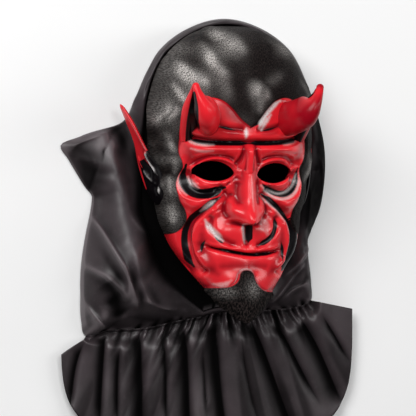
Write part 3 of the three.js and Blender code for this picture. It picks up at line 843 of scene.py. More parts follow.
def ear_mesh(ear):
    """An ear as a flattened sphere along its path, with its paints and its hair per vertex."""
    around, rings = ear["grid"]
    bm = bmesh.new()
    bmesh.ops.create_uvsphere(bm, u_segments=around, v_segments=rings, radius=1)
    ball = coordinates(bm)
    along = (ball[:, 2] + 1) / 2
    turn = np.arctan2(ball[:, 1], ball[:, 0])
    side = np.sin(turn)
    swing = math.radians(ear["swing"])
    out = np.array([math.cos(swing), 0, math.sin(swing)])
    across = np.array([-math.sin(swing), 0, math.cos(swing)])
    pole = np.abs(ball[:, 2]) > 0.99999
    spread = np.where(pole, 0, np.maximum(np.sin(math.pi * along**0.62), 0))
    blunt = 2.2 * smooth((along - 0.6) / 0.3) * np.where(pole, 0, np.clip((1 - along) / 0.03, 0, 1) ** 0.5)
    width = (ear["wide"] * lerp(1.14, 0.78, smooth((along - 0.42) / 0.28)) * spread**0.9 + blunt) * side
    front = np.where(np.cos(turn) > 0, spread, 0)
    hollow = ear["bowl"] * front * bell((along - 0.34) / 0.2) * bell(side / 0.7)
    drawn_at = (side * EAR_HALF, along * EAR_LONG)
    shows = ear["side"] < 0
    carving = sum(form.rise(*drawn_at) for form in EAR_RIDGES + EAR_HOLLOWS) * front * shows
    thick = (ear["thick"] * spread**0.5 + 0.6 * blunt) * np.cos(turn) - hollow + carving
    opened = np.where(side > 0, smooth((along - 0.38) / 0.12), 1) if shows else 1
    curl = (ear["cup"] * opened - 1.6 * (1 - opened) * bell((along - 0.26) / 0.14)) * spread * side**2
    places = bezier(ear["path"], along) + width[:, None] * across + (thick + curl)[:, None] * out
    places[:, 0] *= ear["side"]
    move_to(bm, places)
    bmesh.ops.recalc_face_normals(bm, faces=bm.faces)
    return bm, *ear_paint(ear, places, along, side, front)


print(len(EARS), "ears")

# %% Eye cutters
CUTTER_STEPS, CUTTER_LOW, CUTTER_TALL = 56, 35, 80
EYE_DRIFT = DRIFT * 0.95


def eye_cutter(side):
    """A straight almond prism that cuts an eye hole through the shell."""
    bm = bmesh.new()
    bmesh.ops.create_circle(bm, cap_ends=True, segments=CUTTER_STEPS, radius=1)
    for v in bm.verts:
        along = v.co.x
        bulge = EYE_UPPER if v.co.y > 0 else EYE_LOWER
        up = math.copysign(bulge * max(1 - along * along, 0) ** EYE_POWER, v.co.y)
        x = along * EYE_HALF
        v.co.x = side * (EYE_X + x * math.cos(EYE_SLANT) - up * math.sin(EYE_SLANT)) - EYE_DRIFT
        v.co.y = EYE_Y - side * EYE_TILT + x * math.sin(EYE_SLANT) + up * math.cos(EYE_SLANT)
        v.co.z = CUTTER_LOW
    made = bmesh.ops.extrude_face_region(bm, geom=list(bm.faces))["geom"]
    upper = [g for g in made if isinstance(g, bmesh.types.BMVert)]
    bmesh.ops.translate(bm, vec=(0, 0, CUTTER_TALL), verts=upper)
    bmesh.ops.recalc_face_normals(bm, faces=bm.faces)
    return bm


print("eye holes", 2 * EYE_HALF, "mm long")

# %% [markdown]
# The paint is sprayed and brushed in the same curves as the modelling: black in the grooves, darker red
# sprayed into the creases as painted shade, and painted highlights laid as a pale dry brush along some
# edges. Each mesh gets numbers per vertex that say how much of each paint it has, before the meshes are
# joined, and the join carries them over. They could also be painted as masks in the material, but strokes
# that share the modelling's places can't slide off it.

# %% Paint strokes, side by side because the two sides were painted by hand
BLACK_STROKES = {
    "brow_left": Stroke(2.3, 0, (0, 22.8), (-20, 22.8), (-38, 23.4), (-51, 26), ends=0.15),
    "brow_right": Stroke(2.2, 0, (0, 22.8), (20, 23), (38, 24.5), (50, 27), ends=0.12),
    "crescent_left": Stroke(
        4.6, 0, (-53.5, 3), (-53, -10), (-49, -19), (-42, -23.5), (-33, -23.5), (-25, -21), (-19, -18),
        ends=0.22,
    ),
    "crescent_right": Stroke(
        2.9, 0, (54, 0), (53.5, -11), (49, -20), (41, -24), (31, -23), (22, -19.5), (16, -15), ends=0.2,
    ),
    "cheek_left": Stroke(
        2.9, 0, (-22, -27), (-30, -32), (-39, -40.5), (-46, -48.5), (-49, -59), (-49, -71), (-46, -83),
        (-40.5, -92), ends=0.16,
    ),
    "cheek_right": Stroke(
        3.1, 0, (17, -24), (25, -30.5), (35, -39), (43, -47), (48, -57), (48.5, -68), (46.5, -79),
        (42, -88), ends=0.14,
    ),
    "flank_right": Stroke(5, 0, (50, -46), (54, -58), (53.5, -72), (48.5, -85), (42, -95), ends=0.12),
    "philtrum": Stroke(2.9, 0, (2.0, -51), (2.2, -60), (2.0, -68.5), ends=0.2),
    "lip_right": Stroke(2.4, 0, (30, -47), (30, -54), (27, -62), (21, -67.5), (13, -71.5), ends=0.16),
    "lip_left": Stroke(1.1, 0, (-28, -63), (-24, -67), (-19, -70), ends=0.3),
    "mouth": Stroke(
        1.4, 0, (-29, -73.7), (-15, -76.6), (-5, -79), (7.3, -80.5), (20.3, -79.8), (33, -78), ends=0.2,
    ),
    "corner_left": Stroke(1.4, 0, (-35.6, -67), (-37.2, -72), (-38, -78), ends=0.4),
    "corner_right": Stroke(1.7, 0, (36.8, -68), (38.8, -76), (38.8, -88), ends=0.5),
    # Soft black in the forehead's creases, which also paints their shade.
    "forehead_shade_left": Stroke(1.2, 0, (-30, 38.5), (-22, 36.6), (-12, 34), ends=0.45),
    "forehead_shade_right": Stroke(1.0, 0, (9, 33.8), (18, 35.5), (28, 38.5), ends=0.45),
    "widows_peak": Stroke(2.2, 0, (0, 37), (7, 42.5), (13, 50), ends=0.5),
}
# Painted highlights: pale strokes, laid like a dry brush, on the edges that catch the light.
HIGHLIGHT_STROKES = {
    "hairline_right": (1.0, Stroke(
        2.4, 0, (30, 62.5), (23, 58), (15.5, 50), (10.5, 42), (9, 37), ends=0.25,
    )),
    "hairline_right_low": (0.8, Stroke(2.2, 0, (20, 49), (14, 42), (11, 35), ends=0.35)),
    "brow_middle": (0.95, Stroke(1.6, 0, (-4.2, 36), (-4, 27.5), ends=0.3)),
    "bridge": (0.35, Stroke(0.7, 0, (1.5, -8), (1.8, -25), (1.6, -40), ends=0.2)),
    "philtrum": (1.0, Stroke(1.4, 0, (-4.2, -52.5), (-3.2, -61), (-1.8, -69.5), ends=0.2)),
    "lip_left": (0.9, Stroke(2.3, 0, (-36, -48), (-32, -55), (-26, -62), (-20, -67.5), ends=0.3)),
    "lip_right": (0.3, Stroke(5, 0, (14, -46), (18, -53), (21, -61), ends=0.4)),
    "cheek_left": (0.95, Stroke(1.8, 0, (-27, -30.5), (-32.5, -34), (-37.5, -39.5), ends=0.3)),
    "cheek_right": (0.7, Stroke(0.6, 0, (15, -26), (23, -33), (32, -41), (40, -49.5), ends=0.3)),
    "crescent_left": (0.8, Stroke(0.8, 0, (-57.5, 2), (-58.2, -9), (-55.5, -19), (-51, -25), ends=0.3)),
    "crescent_left_inner": (0.85, Stroke(1.2, 0, (-48.5, -8), (-46, -14), (-41, -19), ends=0.35)),
    "crescent_right": (0.95, Stroke(
        0.8, 0, (57, 0), (57.5, -12), (52, -23), (41, -28.3), (28, -26.5), (14, -16), ends=0.15,
    )),
    "crescent_right_inner": (0.9, Stroke(
        0.6, 0, (53.5, -5), (51.5, -14), (44, -21.5), (33, -23.5), (22, -20), ends=0.25,
    )),
    "brow_left": (0.95, Stroke(0.9, 0, (-54, 28), (-50, 23.4), (-42, 21.2), (-33, 21), ends=0.25)),
    "brow_left_low": (0.6, Stroke(0.6, 0, (-52, 18), (-44, 15.5), (-34, 15.5), ends=0.35)),
    "brow_right": (0.5, Stroke(0.6, 0, (34, 21.2), (42, 22.6), (50, 25), ends=0.3)),
    "goatee": (0.6, Stroke(
        0.5, 0, (-6.8, -98), (-4.8, -94.9), (-1, -94), (3, -95), (5.4, -98), ends=0.2,
    )),
    "chin_left": (0.4, Stroke(2.2, 0, (-27, -107.5), (-19, -108), (-13, -104), ends=0.4)),
}
# Painted shade: darker red sprayed on the forehead, along the frown lines, beside the nose and its wings,
# at the brows' outer ends, from the mouth's corners down and under the lower lip, where shade falls.
SHADE_STROKES = [
    Stroke(5, 0, (-26, 58), (-16, 49), (-8, 40), (-14, 34), (-26, 36), ends=0.2),
    Stroke(3, 0, (8, 34), (18, 34), (30, 38), ends=0.3),
    Stroke(3.2, 0, (-22, -91), (0, -90.5), (20, -91), ends=0.3),
]
SHADE_ON_BOTH_SIDES = [
    (2.4, 0.2, (5.5, 22), (7, 11), (13, 2)),
    (3.4, 0.2, (9, -4), (10, -20), (9, -33)),
    (3.4, 0.2, (19, -28), (20, -40), (14, -49)),
    (3, 0.3, (56, 22), (52, 12), (54, 4)),
    (3.5, 0.2, (38, -62), (37, -74), (32, -90), (24, -98)),
]
for half, ends, *places in SHADE_ON_BOTH_SIDES:
    for side in (-1, 1):
        SHADE_STROKES.append(Stroke(half, 0, *[(side * x, y) for x, y in places], ends=ends))
BLACK_SOFT, HIGHLIGHT_SOFT, SHADE_SOFT = 4.0, 2.4, 6.0  # how wide the strokes' edges blend, in millimetres


def black_paint(x, y):
    x = drift(x, y)
    return np.maximum.reduce([stroke.paint(x, y, BLACK_SOFT) for stroke in BLACK_STROKES.values()])


def pale_paint(x, y):
    x = drift(x, y)
    levels = [level * stroke.paint(x, y, HIGHLIGHT_SOFT) for level, stroke in HIGHLIGHT_STROKES.values()]
    return np.maximum.reduce(levels)


def red_shade(x, y):
    x = drift(x, y)
    return np.maximum.reduce([stroke.paint(x, y, SHADE_SOFT) for stroke in SHADE_STROKES])


print(len(BLACK_STROKES), "black strokes,", len(HIGHLIGHT_STROKES), "pale strokes")

# %% Paint on the hair
HAIR_EDGE_REACH = 3.0
BEARD_TOP_Y = -80
CREST_HEIGHT = 2.9  # a wave this high is brushed fully
SHEEN_HAZE_LEVEL, BEARD_LEVEL = 0.32, 0.28
BEARD_SILVER = [Swelling(5, -112, 7, 8, 1), Swelling(-19, -115, 9, 5, 0.8)]
HAIR_PAINTED_SHADE = Swelling(14, 92, 30, 13, 0.9)


def hair_level(x, y):
    """0.5 along the hair's edge, more inside it and less on the skin, for the material to cut sharply."""
    depth = np.maximum(hair_depth(np.abs(drift(x, y)), y), goatee_depth(x, y))
    return np.clip(0.5 + depth / (2 * HAIR_EDGE_REACH), 0, 1)


def silver_brush(x, y):
    """How much silver the hair's waves get: a dry brush on their crests and a painted sheen, stronger on
    the left where the light falls and held back by painted shade on the right.
    """
    ridges = [lock for lock in HAIR_LOCKS if lock.height > 0]
    sway = 5 * noise(x / 14, y / 14, 14)
    crests = np.maximum.reduce([np.clip(lock.rise(x + sway, y) / CREST_HEIGHT, 0, 1) for lock in ridges])
    across, along = comb(x, y)
    patchy = 0.35 + 0.65 * smooth(0.5 + 0.9 * noise(across / 7, along / 9, 15))
    haze = 0.5 + 0.5 * noise(across / 11, along / 17, 9)
    # Painted light: the sheen's haze is stronger on the left, towards the light, and painted shade holds it
    # back on the right.
    side_light = smooth((20 - x) / 50) * (y > BEARD_TOP_Y)
    in_shade = HAIR_PAINTED_SHADE.rise(x, y) + 0.5 * smooth((x - 20) / 30) * (y > 30)
    highlighted = (crests * patchy + SHEEN_HAZE_LEVEL * haze**2 * side_light) * (1 - np.clip(in_shade, 0, 1))
    beard = sum(patch.rise(x, y) for patch in BEARD_SILVER)
    return np.clip(highlighted + BEARD_LEVEL * beard, 0, 1)


print("silver over the left temple:", silver_brush(np.array([-40.0]), np.array([80.0])).round(2))

# %% Paint numbers on a mesh
PAINTS = ("black_paint", "pale_paint", "red_shade", "hair", "inner_wall", "silver", "soft_gloss", "painted")
BEARD_ACROSS, BEARD_ALONG = 0.33, 0.75  # the beard's strands are coarser, and hang straight down


def paint_numbers(made, **levels):
    """Stores a mesh's paint numbers, each a function of x and y, an array or one value. The rest are 0."""
    places = read_rows(made.data.vertices, "co") / MM - np.array([FACE_X, FACE_Y, REST_Z])
    x, y = places[:, 0], places[:, 1]
    levels["painted"] = 1.0
    for name in PAINTS:
        value = levels.get(name, 0.0)
        store(made.data, name, value(x, y) if callable(value) else np.broadcast_to(value, x.shape))
    across, along = comb(x, y)
    beard = y < BEARD_TOP_Y
    across = np.where(beard, x * BEARD_ACROSS, across)
    along = np.where(beard, y * BEARD_ALONG, along)
    strands = made.data.attributes.new("strands", "FLOAT_VECTOR", "POINT")
    write_rows(strands.data, "vector", np.stack([across, along, np.zeros_like(x)], axis=-1))


def add_form(name, bm, **levels):
    """A painted form of the mask, lying on the hood's back panel."""
    made = add_object(name, bm, REST_Z)
    paint_numbers(made, **levels)
    return made


print(len(PAINTS), "numbers per vertex")

# %% Build and paint the separate forms
HORN_PARTS = ((HORN, "horn", 60, 60), (STRAND, "strand", 28, 44), (WEB, "web", 16, 28))
HOLLOW_GRID, HOLLOW_WALL, HOLLOW_START, HOLLOW_STOP = (20, 14), 1.5 * WALL, -0.12, 0.7
outer = add_form(
    "outer_form",
    closed_form(*OUTER_GRID, outer_place, outer_back),
    black_paint=black_paint,
    pale_paint=pale_paint,
    red_shade=red_shade,
    hair=hair_level,
    silver=silver_brush,
)
inner = add_form("inner_form", closed_form(*INNER_GRID, inner_place, inner_back), inner_wall=1.0)
horns, hollows = [], []
for side, word in ((-1, "left"), (1, "right")):
    for horn, name, around, rings in HORN_PARTS:
        bm, black = horn_mesh(horn, side, around, rings)
        horns.append(add_form(f"{name}_{word}", bm, black_paint=black, soft_gloss=1.0))
    bm, _ = horn_mesh(HORN, side, *HOLLOW_GRID, HOLLOW_WALL, HOLLOW_START, HOLLOW_STOP)
    hollows.append(add_form(f"hollow_{word}", bm, inner_wall=1.0))
ears = []
for ear in EARS:
    bm, black, pale, hair = ear_mesh(ear)
    ears.append(add_form("ear", bm, black_paint=black, pale_paint=pale, hair=hair))
# The eye holes' cut walls are sprayed dark red all over, as painted shade inside the holes.
cutters = [add_form(f"eye_cutter_{side}", eye_cutter(side), red_shade=1.0) for side in (-1, 1)]
print("outer form", len(outer.data.polygons), "faces, inner form", len(inner.data.polygons))

# %% [markdown]
# The real mask comes out of one mould, so the separate forms are fused into one skin here. They overlap a
# little, and the Manifold solver joins closed meshes fast, and cleanly where their faces point outwards.
# One fault is left: the horn, its hollow and the ear at the viewer's right go in inside out, so faces are
# repeated round that horn's foot and that ear, and those two keep inward faces. The solver leaves the new
# vertices along a join without paint numbers, so these are filled in from their neighbours.

# %% Join and cut the mask
def boolean(target, tools, operation):
    """Applies one boolean per tool to the target's mesh."""
    for tool in tools:
        step = target.modifiers.new(tool.name, "BOOLEAN")
        step.operation = operation
        step.solver = "MANIFOLD"
        step.object = tool
    bpy.context.view_layer.update()
    shaped = target.evaluated_get(bpy.context.evaluated_depsgraph_get())
    mesh = bpy.data.meshes.new_from_object(shaped)
    target.modifiers.clear()
    target.data = mesh
    for tool in tools:
        bpy.data.objects.remove(tool)


boolean(outer, horns + ears, "UNION")
boolean(inner, hollows, "UNION")
boolean(outer, [inner, *cutters], "DIFFERENCE")
mask = outer
mask.name = "mask"
mask.data.name = "mask"
print("mask has", sum(len(p.vertices) - 2 for p in mask.data.polygons), "triangles")

# %% Mend the paint along the joins
MEND_ROUNDS = 6
CREASE_DEGREES = 50


def edge_ends(mesh):
    """The two vertex numbers of every edge."""
    ends = np.empty(2 * len(mesh.edges), dtype=np.int32)
    mesh.edges.foreach_get("vertices", ends)
    return ends.reshape(-1, 2).T


def neighbour_sum(ends, values):
    """For every vertex, the sum of the values at the other ends of its edges."""
    a, b = ends
    count = len(values)
    return np.bincount(a, values[b], count) + np.bincount(b, values[a], count)


def mend_paint(mesh):
    """Each vertex that the joins made takes the mean of its painted neighbours."""
    ends = edge_ends(mesh)
    strands = mesh.attributes["strands"].data
    numbers = np.vstack([*(read(mesh, name) for name in PAINTS), read_rows(strands, "vector").T])
    painted = numbers[PAINTS.index("painted")] > 0.5
    bare = int((~painted).sum())
    for _ in range(MEND_ROUNDS):
        known = neighbour_sum(ends, painted)
        ready = ~painted & (known > 0)
        for row in numbers:
            row[ready] = neighbour_sum(ends, row * painted)[ready] / known[ready]
        painted = painted | ready
    for row, name in zip(numbers, PAINTS):
        store(mesh, name, row)
    write_rows(strands, "vector", numbers[len(PAINTS):].T)
    return bare


print(mend_paint(mask.data), "vertices of the joins painted like their neighbours")
shade_smooth(mask.data, CREASE_DEGREES)

# %% Hollows and ridges as a number per vertex
MASK_CAVITY_ROUNDS, MASK_CAVITY_LIMIT = 14, 2.0
STAY_SHARE = 0.3  # how much of its own place a vertex keeps in each round of smoothing


def cavity_numbers(mesh, rounds, limit):
    """How far each vertex stands out of its smoothed neighbourhood, in millimetres, negative in hollows."""
    places = read_rows(mesh.vertices, "co") / MM
    normals = read_rows(mesh.vertices, "normal")
    ends = edge_ends(mesh)
    neighbours = np.maximum(neighbour_sum(ends, np.ones(len(places))), 1)[:, None]
    smoothed = places.copy()
    for _ in range(rounds):
        total = np.stack([neighbour_sum(ends, smoothed[:, axis]) for axis in range(3)], axis=-1)
        smoothed = STAY_SHARE * smoothed + (1 - STAY_SHARE) * total / neighbours
    return np.clip(((places - smoothed) * normals).sum(axis=1), -limit, limit)


cavity = cavity_numbers(mask.data, MASK_CAVITY_ROUNDS, MASK_CAVITY_LIMIT)
store(mask.data, "cavity", cavity)
print("cavity from", round(float(cavity.min()), 2), "to", round(float(cavity.max()), 2))

# %% [markdown]
# Three effects are node groups, each built once. Unevenness breaks up colour and gloss in every finish,
# strands draw combed hair from the stored comb coordinates, and weave draws the satin's fine threads for
# both pieces of cloth.

# %% Node helpers
def put(tree, slot, value):
    """Sets a node's input to a number or a colour, or links another node's output to it."""
    if isinstance(value, bpy.types.NodeSocket):
        tree.links.new(value, slot)
    elif isinstance(value, tuple):
        slot.default_value = (*value, 1)
    else:
        slot.default_value = value


def feed(tree, node, **values):
    """Puts values into a node's inputs by name, with _ for a space. Returns the node."""
    for title, value in values.items():
        put(tree, node.inputs[title.replace("_", " ")], value)
    return node


def add_node(tree, kind, label="", **settings):
    node = tree.nodes.new(kind)
    node.label = label
    for key, value in settings.items():
        setattr(node, key, value)
    return node


def math_node(tree, operation, first, second, clamp=False):
    """A Math node of two numbers or outputs. Returns its output."""
    node = add_node(tree, "ShaderNodeMath", operation=operation, use_clamp=clamp)
    put(tree, node.inputs[0], first)
    put(tree, node.inputs[1], second)
    return node.outputs[0]


def mix_colour(tree, share, first, second):
    """A mix of two colours or outputs. Returns its output."""
    node = add_node(tree, "ShaderNodeMix", data_type="RGBA")
    for number, value in ((0, share), (6, first), (7, second)):
        put(tree, node.inputs[number], value)
    return node.outputs[2]


def map_range(tree, value, low, high, to_low=0.0, to_high=1.0):
    """Spreads a value from one range over another, with soft ends. Returns its output."""
    node = add_node(tree, "ShaderNodeMapRange", interpolation_type="SMOOTHSTEP")
    feed(tree, node, Value=value, From_Min=low, From_Max=high, To_Min=to_low, To_Max=to_high)
    return node.outputs["Result"]


def attribute(tree, name):
    return add_node(tree, "ShaderNodeAttribute", name, attribute_name=name)


def new_group(name, inputs, outputs):
    """A node group. Its inputs are given by name, a vector as None, and its outputs are all numbers."""
    group = bpy.data.node_groups.new(name, "ShaderNodeTree")
    for title, value in inputs.items():
        kind = "NodeSocketVector" if value is None else "NodeSocketFloat"
        socket = group.interface.new_socket(title, in_out="INPUT", socket_type=kind)
        if value is not None:
            socket.default_value = value
    for title in outputs:
        group.interface.new_socket(title, in_out="OUTPUT", socket_type="NodeSocketFloat")
    print("group", name, "puts out", *outputs)
    return group, add_node(group, "NodeGroupInput").outputs, add_node(group, "NodeGroupOutput")


print("node helpers ready")

# %% Group: unevenness
uneven, given, leave = new_group(
    "unevenness", {"Vector": None, "Scale": 60.0, "Fine Scale": 900.0}, ("Broad", "Fine"),
)
for title, size_name, detail in (("Broad", "Scale", 3.0), ("Fine", "Fine Scale", 4.0)):
    cloud = add_node(uneven, "ShaderNodeTexNoise", title)
    feed(uneven, cloud, Vector=given["Vector"], Scale=given[size_name], Detail=detail)
    put(uneven, leave.inputs[title], cloud.outputs["Fac"])

# %% Group: combed strands
strands, given, leave = new_group(
    "combed_strands", {"Comb": None, "Density": 1.0, "Stretch": 0.18}, ("Height", "Glint"),
)
apart = feed(strands, add_node(strands, "ShaderNodeSeparateXYZ"), Vector=given["Comb"])
across = math_node(strands, "MULTIPLY", apart.outputs[0], given["Density"])
along = math_node(strands, "MULTIPLY", apart.outputs[1], given["Density"])
along = math_node(strands, "MULTIPLY", along, given["Stretch"])
laid = feed(strands, add_node(strands, "ShaderNodeCombineXYZ"), X=across, Y=along).outputs[0]
coarse = add_node(strands, "ShaderNodeTexNoise", "locks")
feed(strands, coarse, Vector=laid, Scale=1.1, Detail=3.0, Distortion=0.4)
glints = add_node(strands, "ShaderNodeTexNoise", "glints")
feed(strands, glints, Vector=laid, Scale=1.5, Detail=2.0)
glint = map_range(strands, glints.outputs["Fac"], 0.36, 0.66)
feed(strands, leave, Height=coarse.outputs["Fac"], Glint=glint)

# %% Group: satin weave
weave, given, leave = new_group("satin_weave", {"Vector": None, "Threads": 2500.0}, ("Height", "Slub"))
warp = add_node(weave, "ShaderNodeTexWave", "floating threads", bands_direction="X")
feed(weave, warp, Vector=given["Vector"], Scale=given["Threads"], Distortion=0.5)
weft = add_node(weave, "ShaderNodeTexWave", "crossing threads", bands_direction="Y")
sparse = math_node(weave, "MULTIPLY", given["Threads"], 0.4)
feed(weave, weft, Vector=given["Vector"], Scale=sparse, Distortion=0.5)
slub = add_node(weave, "ShaderNodeTexNoise", "slubs")
feed(weave, slub, Vector=given["Vector"], Scale=240.0, Detail=3.0)
height = math_node(weave, "MULTIPLY", warp.outputs["Fac"], 0.75)
height = math_node(weave, "ADD", height, math_node(weave, "MULTIPLY", weft.outputs["Fac"], 0.25))
feed(weave, leave, Height=height, Slub=slub.outputs["Fac"])

# %% [markdown]
# The moulding is a soft plastic with a glossy coat. Its red is sprayed darker into the hollows, which also
# paints their shade, and it is lighter on the ridges as a painted highlight. Black gloss paint lies in the
# grooves, and painted highlights, laid like a pale dry brush, catch some of their edges. The hair is
# charcoal with a silver brush and a painted sheen over its waves, stronger on the left where the light
# falls, and a duller coat.

# %% Material helpers
def use_group(tree, group, **values):
    """Places a group in a material, with its own values."""
    node = add_node(tree, "ShaderNodeGroup", group.name)
    node.node_tree = group
    return feed(tree, node, **values)


def new_material(name):
    material = bpy.data.materials.new(name)
    material.use_nodes = True
    tree = material.node_tree
    shader = tree.nodes["Principled BSDF"]
    place = add_node(tree, "ShaderNodeTexCoord")
    return material, tree, shader, place.outputs["Object"]


def add_bump(tree, shader, label, height, strength, distance):
    bump = feed(tree, add_node(tree, "ShaderNodeBump", label), Height=height)
    feed(tree, bump, Strength=strength, Distance=distance)
    feed(tree, shader, Normal=bump.outputs["Normal"])


moulding, tree, shader, place = new_material("painted_moulding")
print("started", moulding.name)

# %% Moulding: where each paint lies
cloud = use_group(tree, uneven, Vector=place, Scale=55.0, Fine_Scale=700.0)
broad, fine = cloud.outputs["Broad"], cloud.outputs["Fine"]
combed = attribute(tree, "strands").outputs["Vector"]
lock = use_group(tree, strands, Comb=combed, Density=2.0, Stretch=0.24)
black, pale, shade, hair_at, inner_wall, silver, soft_gloss = (
    attribute(tree, name).outputs["Fac"] for name in PAINTS if name != "painted"
)
hollow = attribute(tree, "cavity").outputs["Fac"]
hair = map_range(tree, hair_at, 0.46, 0.54)
hair_outline = map_range(tree, hair_at, 0.38, 0.47)
ridge_lit = map_range(tree, hollow, -0.7, 0.3)
# Painted shade: the sprayed darker red of the creases.
sprayed_shade = math_node(tree, "MULTIPLY", shade, map_range(tree, broad, 0.2, 0.8, 0.55, 0.85))
# Painted highlights, broken up like a dry brush.
highlighted = math_node(tree, "MULTIPLY", pale, map_range(tree, fine, 0.3, 0.5, 0.45, 1.0))
ragged = math_node(tree, "ADD", black, math_node(tree, "MULTIPLY", fine, 0.14))
black_edge = map_range(tree, ragged, 0.47, 0.67)
print("masks for red, black, pale and silver")

# %% Moulding: the skin's paint
RED_IN_SHADED_HOLLOWS = (0.26, 0.001, 0.008)
RED_ON_LIT_RIDGES = (0.80, 0.018, 0.028)
RED_CLOUDS = (0.58, 0.008, 0.018)
RED_SPRAYED_SHADE = (0.22, 0.001, 0.006)
BLACK_GLOSS = (0.003, 0.002, 0.003)
HIGHLIGHT_PAINT = (0.66, 0.62, 0.61)
HAIR_OUTLINE = (0.02, 0.002, 0.003)
# Darker red sprayed into the hollows, which also paints their shade, and lighter red on the ridges as a
# painted highlight.
red = mix_colour(tree, ridge_lit, RED_IN_SHADED_HOLLOWS, RED_ON_LIT_RIDGES)
red = mix_colour(tree, map_range(tree, broad, 0.35, 0.7, 0.0, 0.3), red, RED_CLOUDS)
red = mix_colour(tree, sprayed_shade, red, RED_SPRAYED_SHADE)
skin = mix_colour(tree, black_edge, red, BLACK_GLOSS)
skin = mix_colour(tree, highlighted, skin, HIGHLIGHT_PAINT)
skin = mix_colour(tree, math_node(tree, "MULTIPLY", hair_outline, 0.75), skin, HAIR_OUTLINE)
print("skin from", RED_IN_SHADED_HOLLOWS, "to", RED_ON_LIT_RIDGES)

# %% Moulding: the hair's paint, and all of it together
HAIR_ROOTS = (0.0012, 0.0009, 0.001)
HAIR_TUFTS = (0.023, 0.0165, 0.0155)
HAIR_SILVER_SHEEN = (0.68, 0.64, 0.61)
BARE_WALL = (0.12, 0.008, 0.010)
caught = map_range(tree, lock.outputs["Glint"], 0.0, 1.0, 0.14, 1.0)
tuft = map_range(tree, lock.outputs["Height"], 0.42, 0.64)
hair_colour = mix_colour(tree, tuft, HAIR_ROOTS, HAIR_TUFTS)
# The silver dry brush and its painted sheen, broken into the strands' glints.
hair_colour = mix_colour(tree, math_node(tree, "MULTIPLY", silver, caught), hair_colour, HAIR_SILVER_SHEEN)
painted = mix_colour(tree, hair, skin, hair_colour)
painted = mix_colour(tree, inner_wall, painted, BARE_WALL)
feed(tree, shader, Base_Color=painted)
print("hair from", HAIR_ROOTS, "to", HAIR_SILVER_SHEEN)

# %% Moulding: gloss and bump
rough = map_range(tree, broad, 0.3, 0.7, 0.30, 0.42)
rough = math_node(tree, "ADD", rough, math_node(tree, "MULTIPLY", hair, 0.3))
rough = math_node(tree, "ADD", rough, math_node(tree, "MULTIPLY", inner_wall, 0.4), clamp=True)
dull = math_node(tree, "MAXIMUM", hair, inner_wall)
dull = math_node(tree, "MAXIMUM", dull, math_node(tree, "MULTIPLY", black, 0.6))
dull = math_node(tree, "MAXIMUM", dull, math_node(tree, "MULTIPLY", soft_gloss, 0.65))
coat = map_range(tree, dull, 0.0, 1.0, 0.75, 0.0)
feed(tree, shader, Roughness=rough, Coat_Weight=coat, Coat_Roughness=0.24, Specular_IOR_Level=0.05)
grain = math_node(tree, "MULTIPLY", lock.outputs["Height"], map_range(tree, hair_at, 0.55, 0.65))
grain = math_node(tree, "ADD", grain, math_node(tree, "MULTIPLY", fine, 0.05))
add_bump(tree, shader, "strands and casting texture", grain, 0.8, 0.001)
mask.data.materials.clear()
mask.data.materials.append(moulding)
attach(mask, "root")
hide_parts("mask_moulding")
print("mask finished in", moulding.name)

# %% [markdown]
# The hood is a bag of thin satin. Off the head it collapses: its back panel lies under the mask, and its
# front stands in soft folds round the face, fuller beside the jaw, with its old peak slumped to one side.
# It is one continuous sheet here, laid in rings from the face opening over the folds to the outline and
# back underneath. A simulation would not land on these folds, so their ridges are drawn as strokes, as a
# sculptor would lay them.

# %% The hood's outline and opening
HOOD_OUTLINE = np.array([  # angle in degrees round the eye line's middle, and radius
    (5, 100), (25, 104), (37, 110), (48, 118), (61, 131), (75, 139), (90, 143), (105, 138), (119, 129.5),
    (129, 119.5), (142, 110), (157, 110), (168, 144), (172, 160), (176.4, 152), (181, 144.5), (186.7, 137),
    (192, 131.5), (204, 147), (219, 180),
    (226, 200), (229.5, 207), (233.4, 190), (242.5, 170), (251.2, 153), (261, 142), (268, 137), (285, 140),
    (291, 144), (304, 152), (308, 139), (315, 116), (321, 105.5), (341, 101), (352, 99.5),
])
SEAM_START, SEAM_END = 229.5, 304.0
OPENING_GAP, LEAST_HEM = 3, 6


def hood_radius(angle):
    """Radius of the hood's outline at angles in degrees: a smooth curve through its stations."""
    turn = np.mod(angle, 360)
    stations = np.vstack([HOOD_OUTLINE - (360, 0), HOOD_OUTLINE, HOOD_OUTLINE + (360, 0)])
    i = np.searchsorted(stations[:, 0], turn, side="right")
    before, start, stop, after = (stations[i + k] for k in (-2, -1, 0, 1))
    span = stop[..., 0] - start[..., 0]
    t = (turn - start[..., 0]) / span
    slope_in = (stop[..., 1] - before[..., 1]) / (stop[..., 0] - before[..., 0]) * span
    slope_out = (after[..., 1] - start[..., 1]) / (after[..., 0] - start[..., 0]) * span
    blend = (2 * t**3 - 3 * t**2 + 1) * start[..., 1] + (3 * t**2 - 2 * t**3) * stop[..., 1]
    return blend + (t**3 - 2 * t**2 + t) * slope_in + (t**3 - t**2) * slope_out


def mask_radius(angle):
    """Radius of the mask's own outline at an angle, found by halving."""
    cos, sin = np.cos(np.radians(angle)), np.sin(np.radians(angle))
    low, high = np.zeros_like(cos), np.full_like(cos, 200.0)
    for _ in range(30):
        middle = (low + high) / 2
        x, y = middle * cos, middle * sin
        within = (np.abs(x) < half_width(y)) & (y < CROWN_Y) & (y > BEARD_TIP_Y)
        low, high = np.where(within, middle, low), np.where(within, high, middle)
    return low


def opening_radius(angle):
    """The opening follows the mask a little way off, and gapes beside the jaw and beside the right ear."""
    beside = np.mod(angle + 180, 360) - 180
    gape = 15 * bell((angle - 226) / 38) + 4.5 * bell((beside - 12) / 30)
    return np.minimum(mask_radius(angle) + OPENING_GAP + gape, hood_radius(angle) - LEAST_HEM)


print("outline radius at 90 degrees", round(float(hood_radius(np.array([90.0]))[0]), 1))

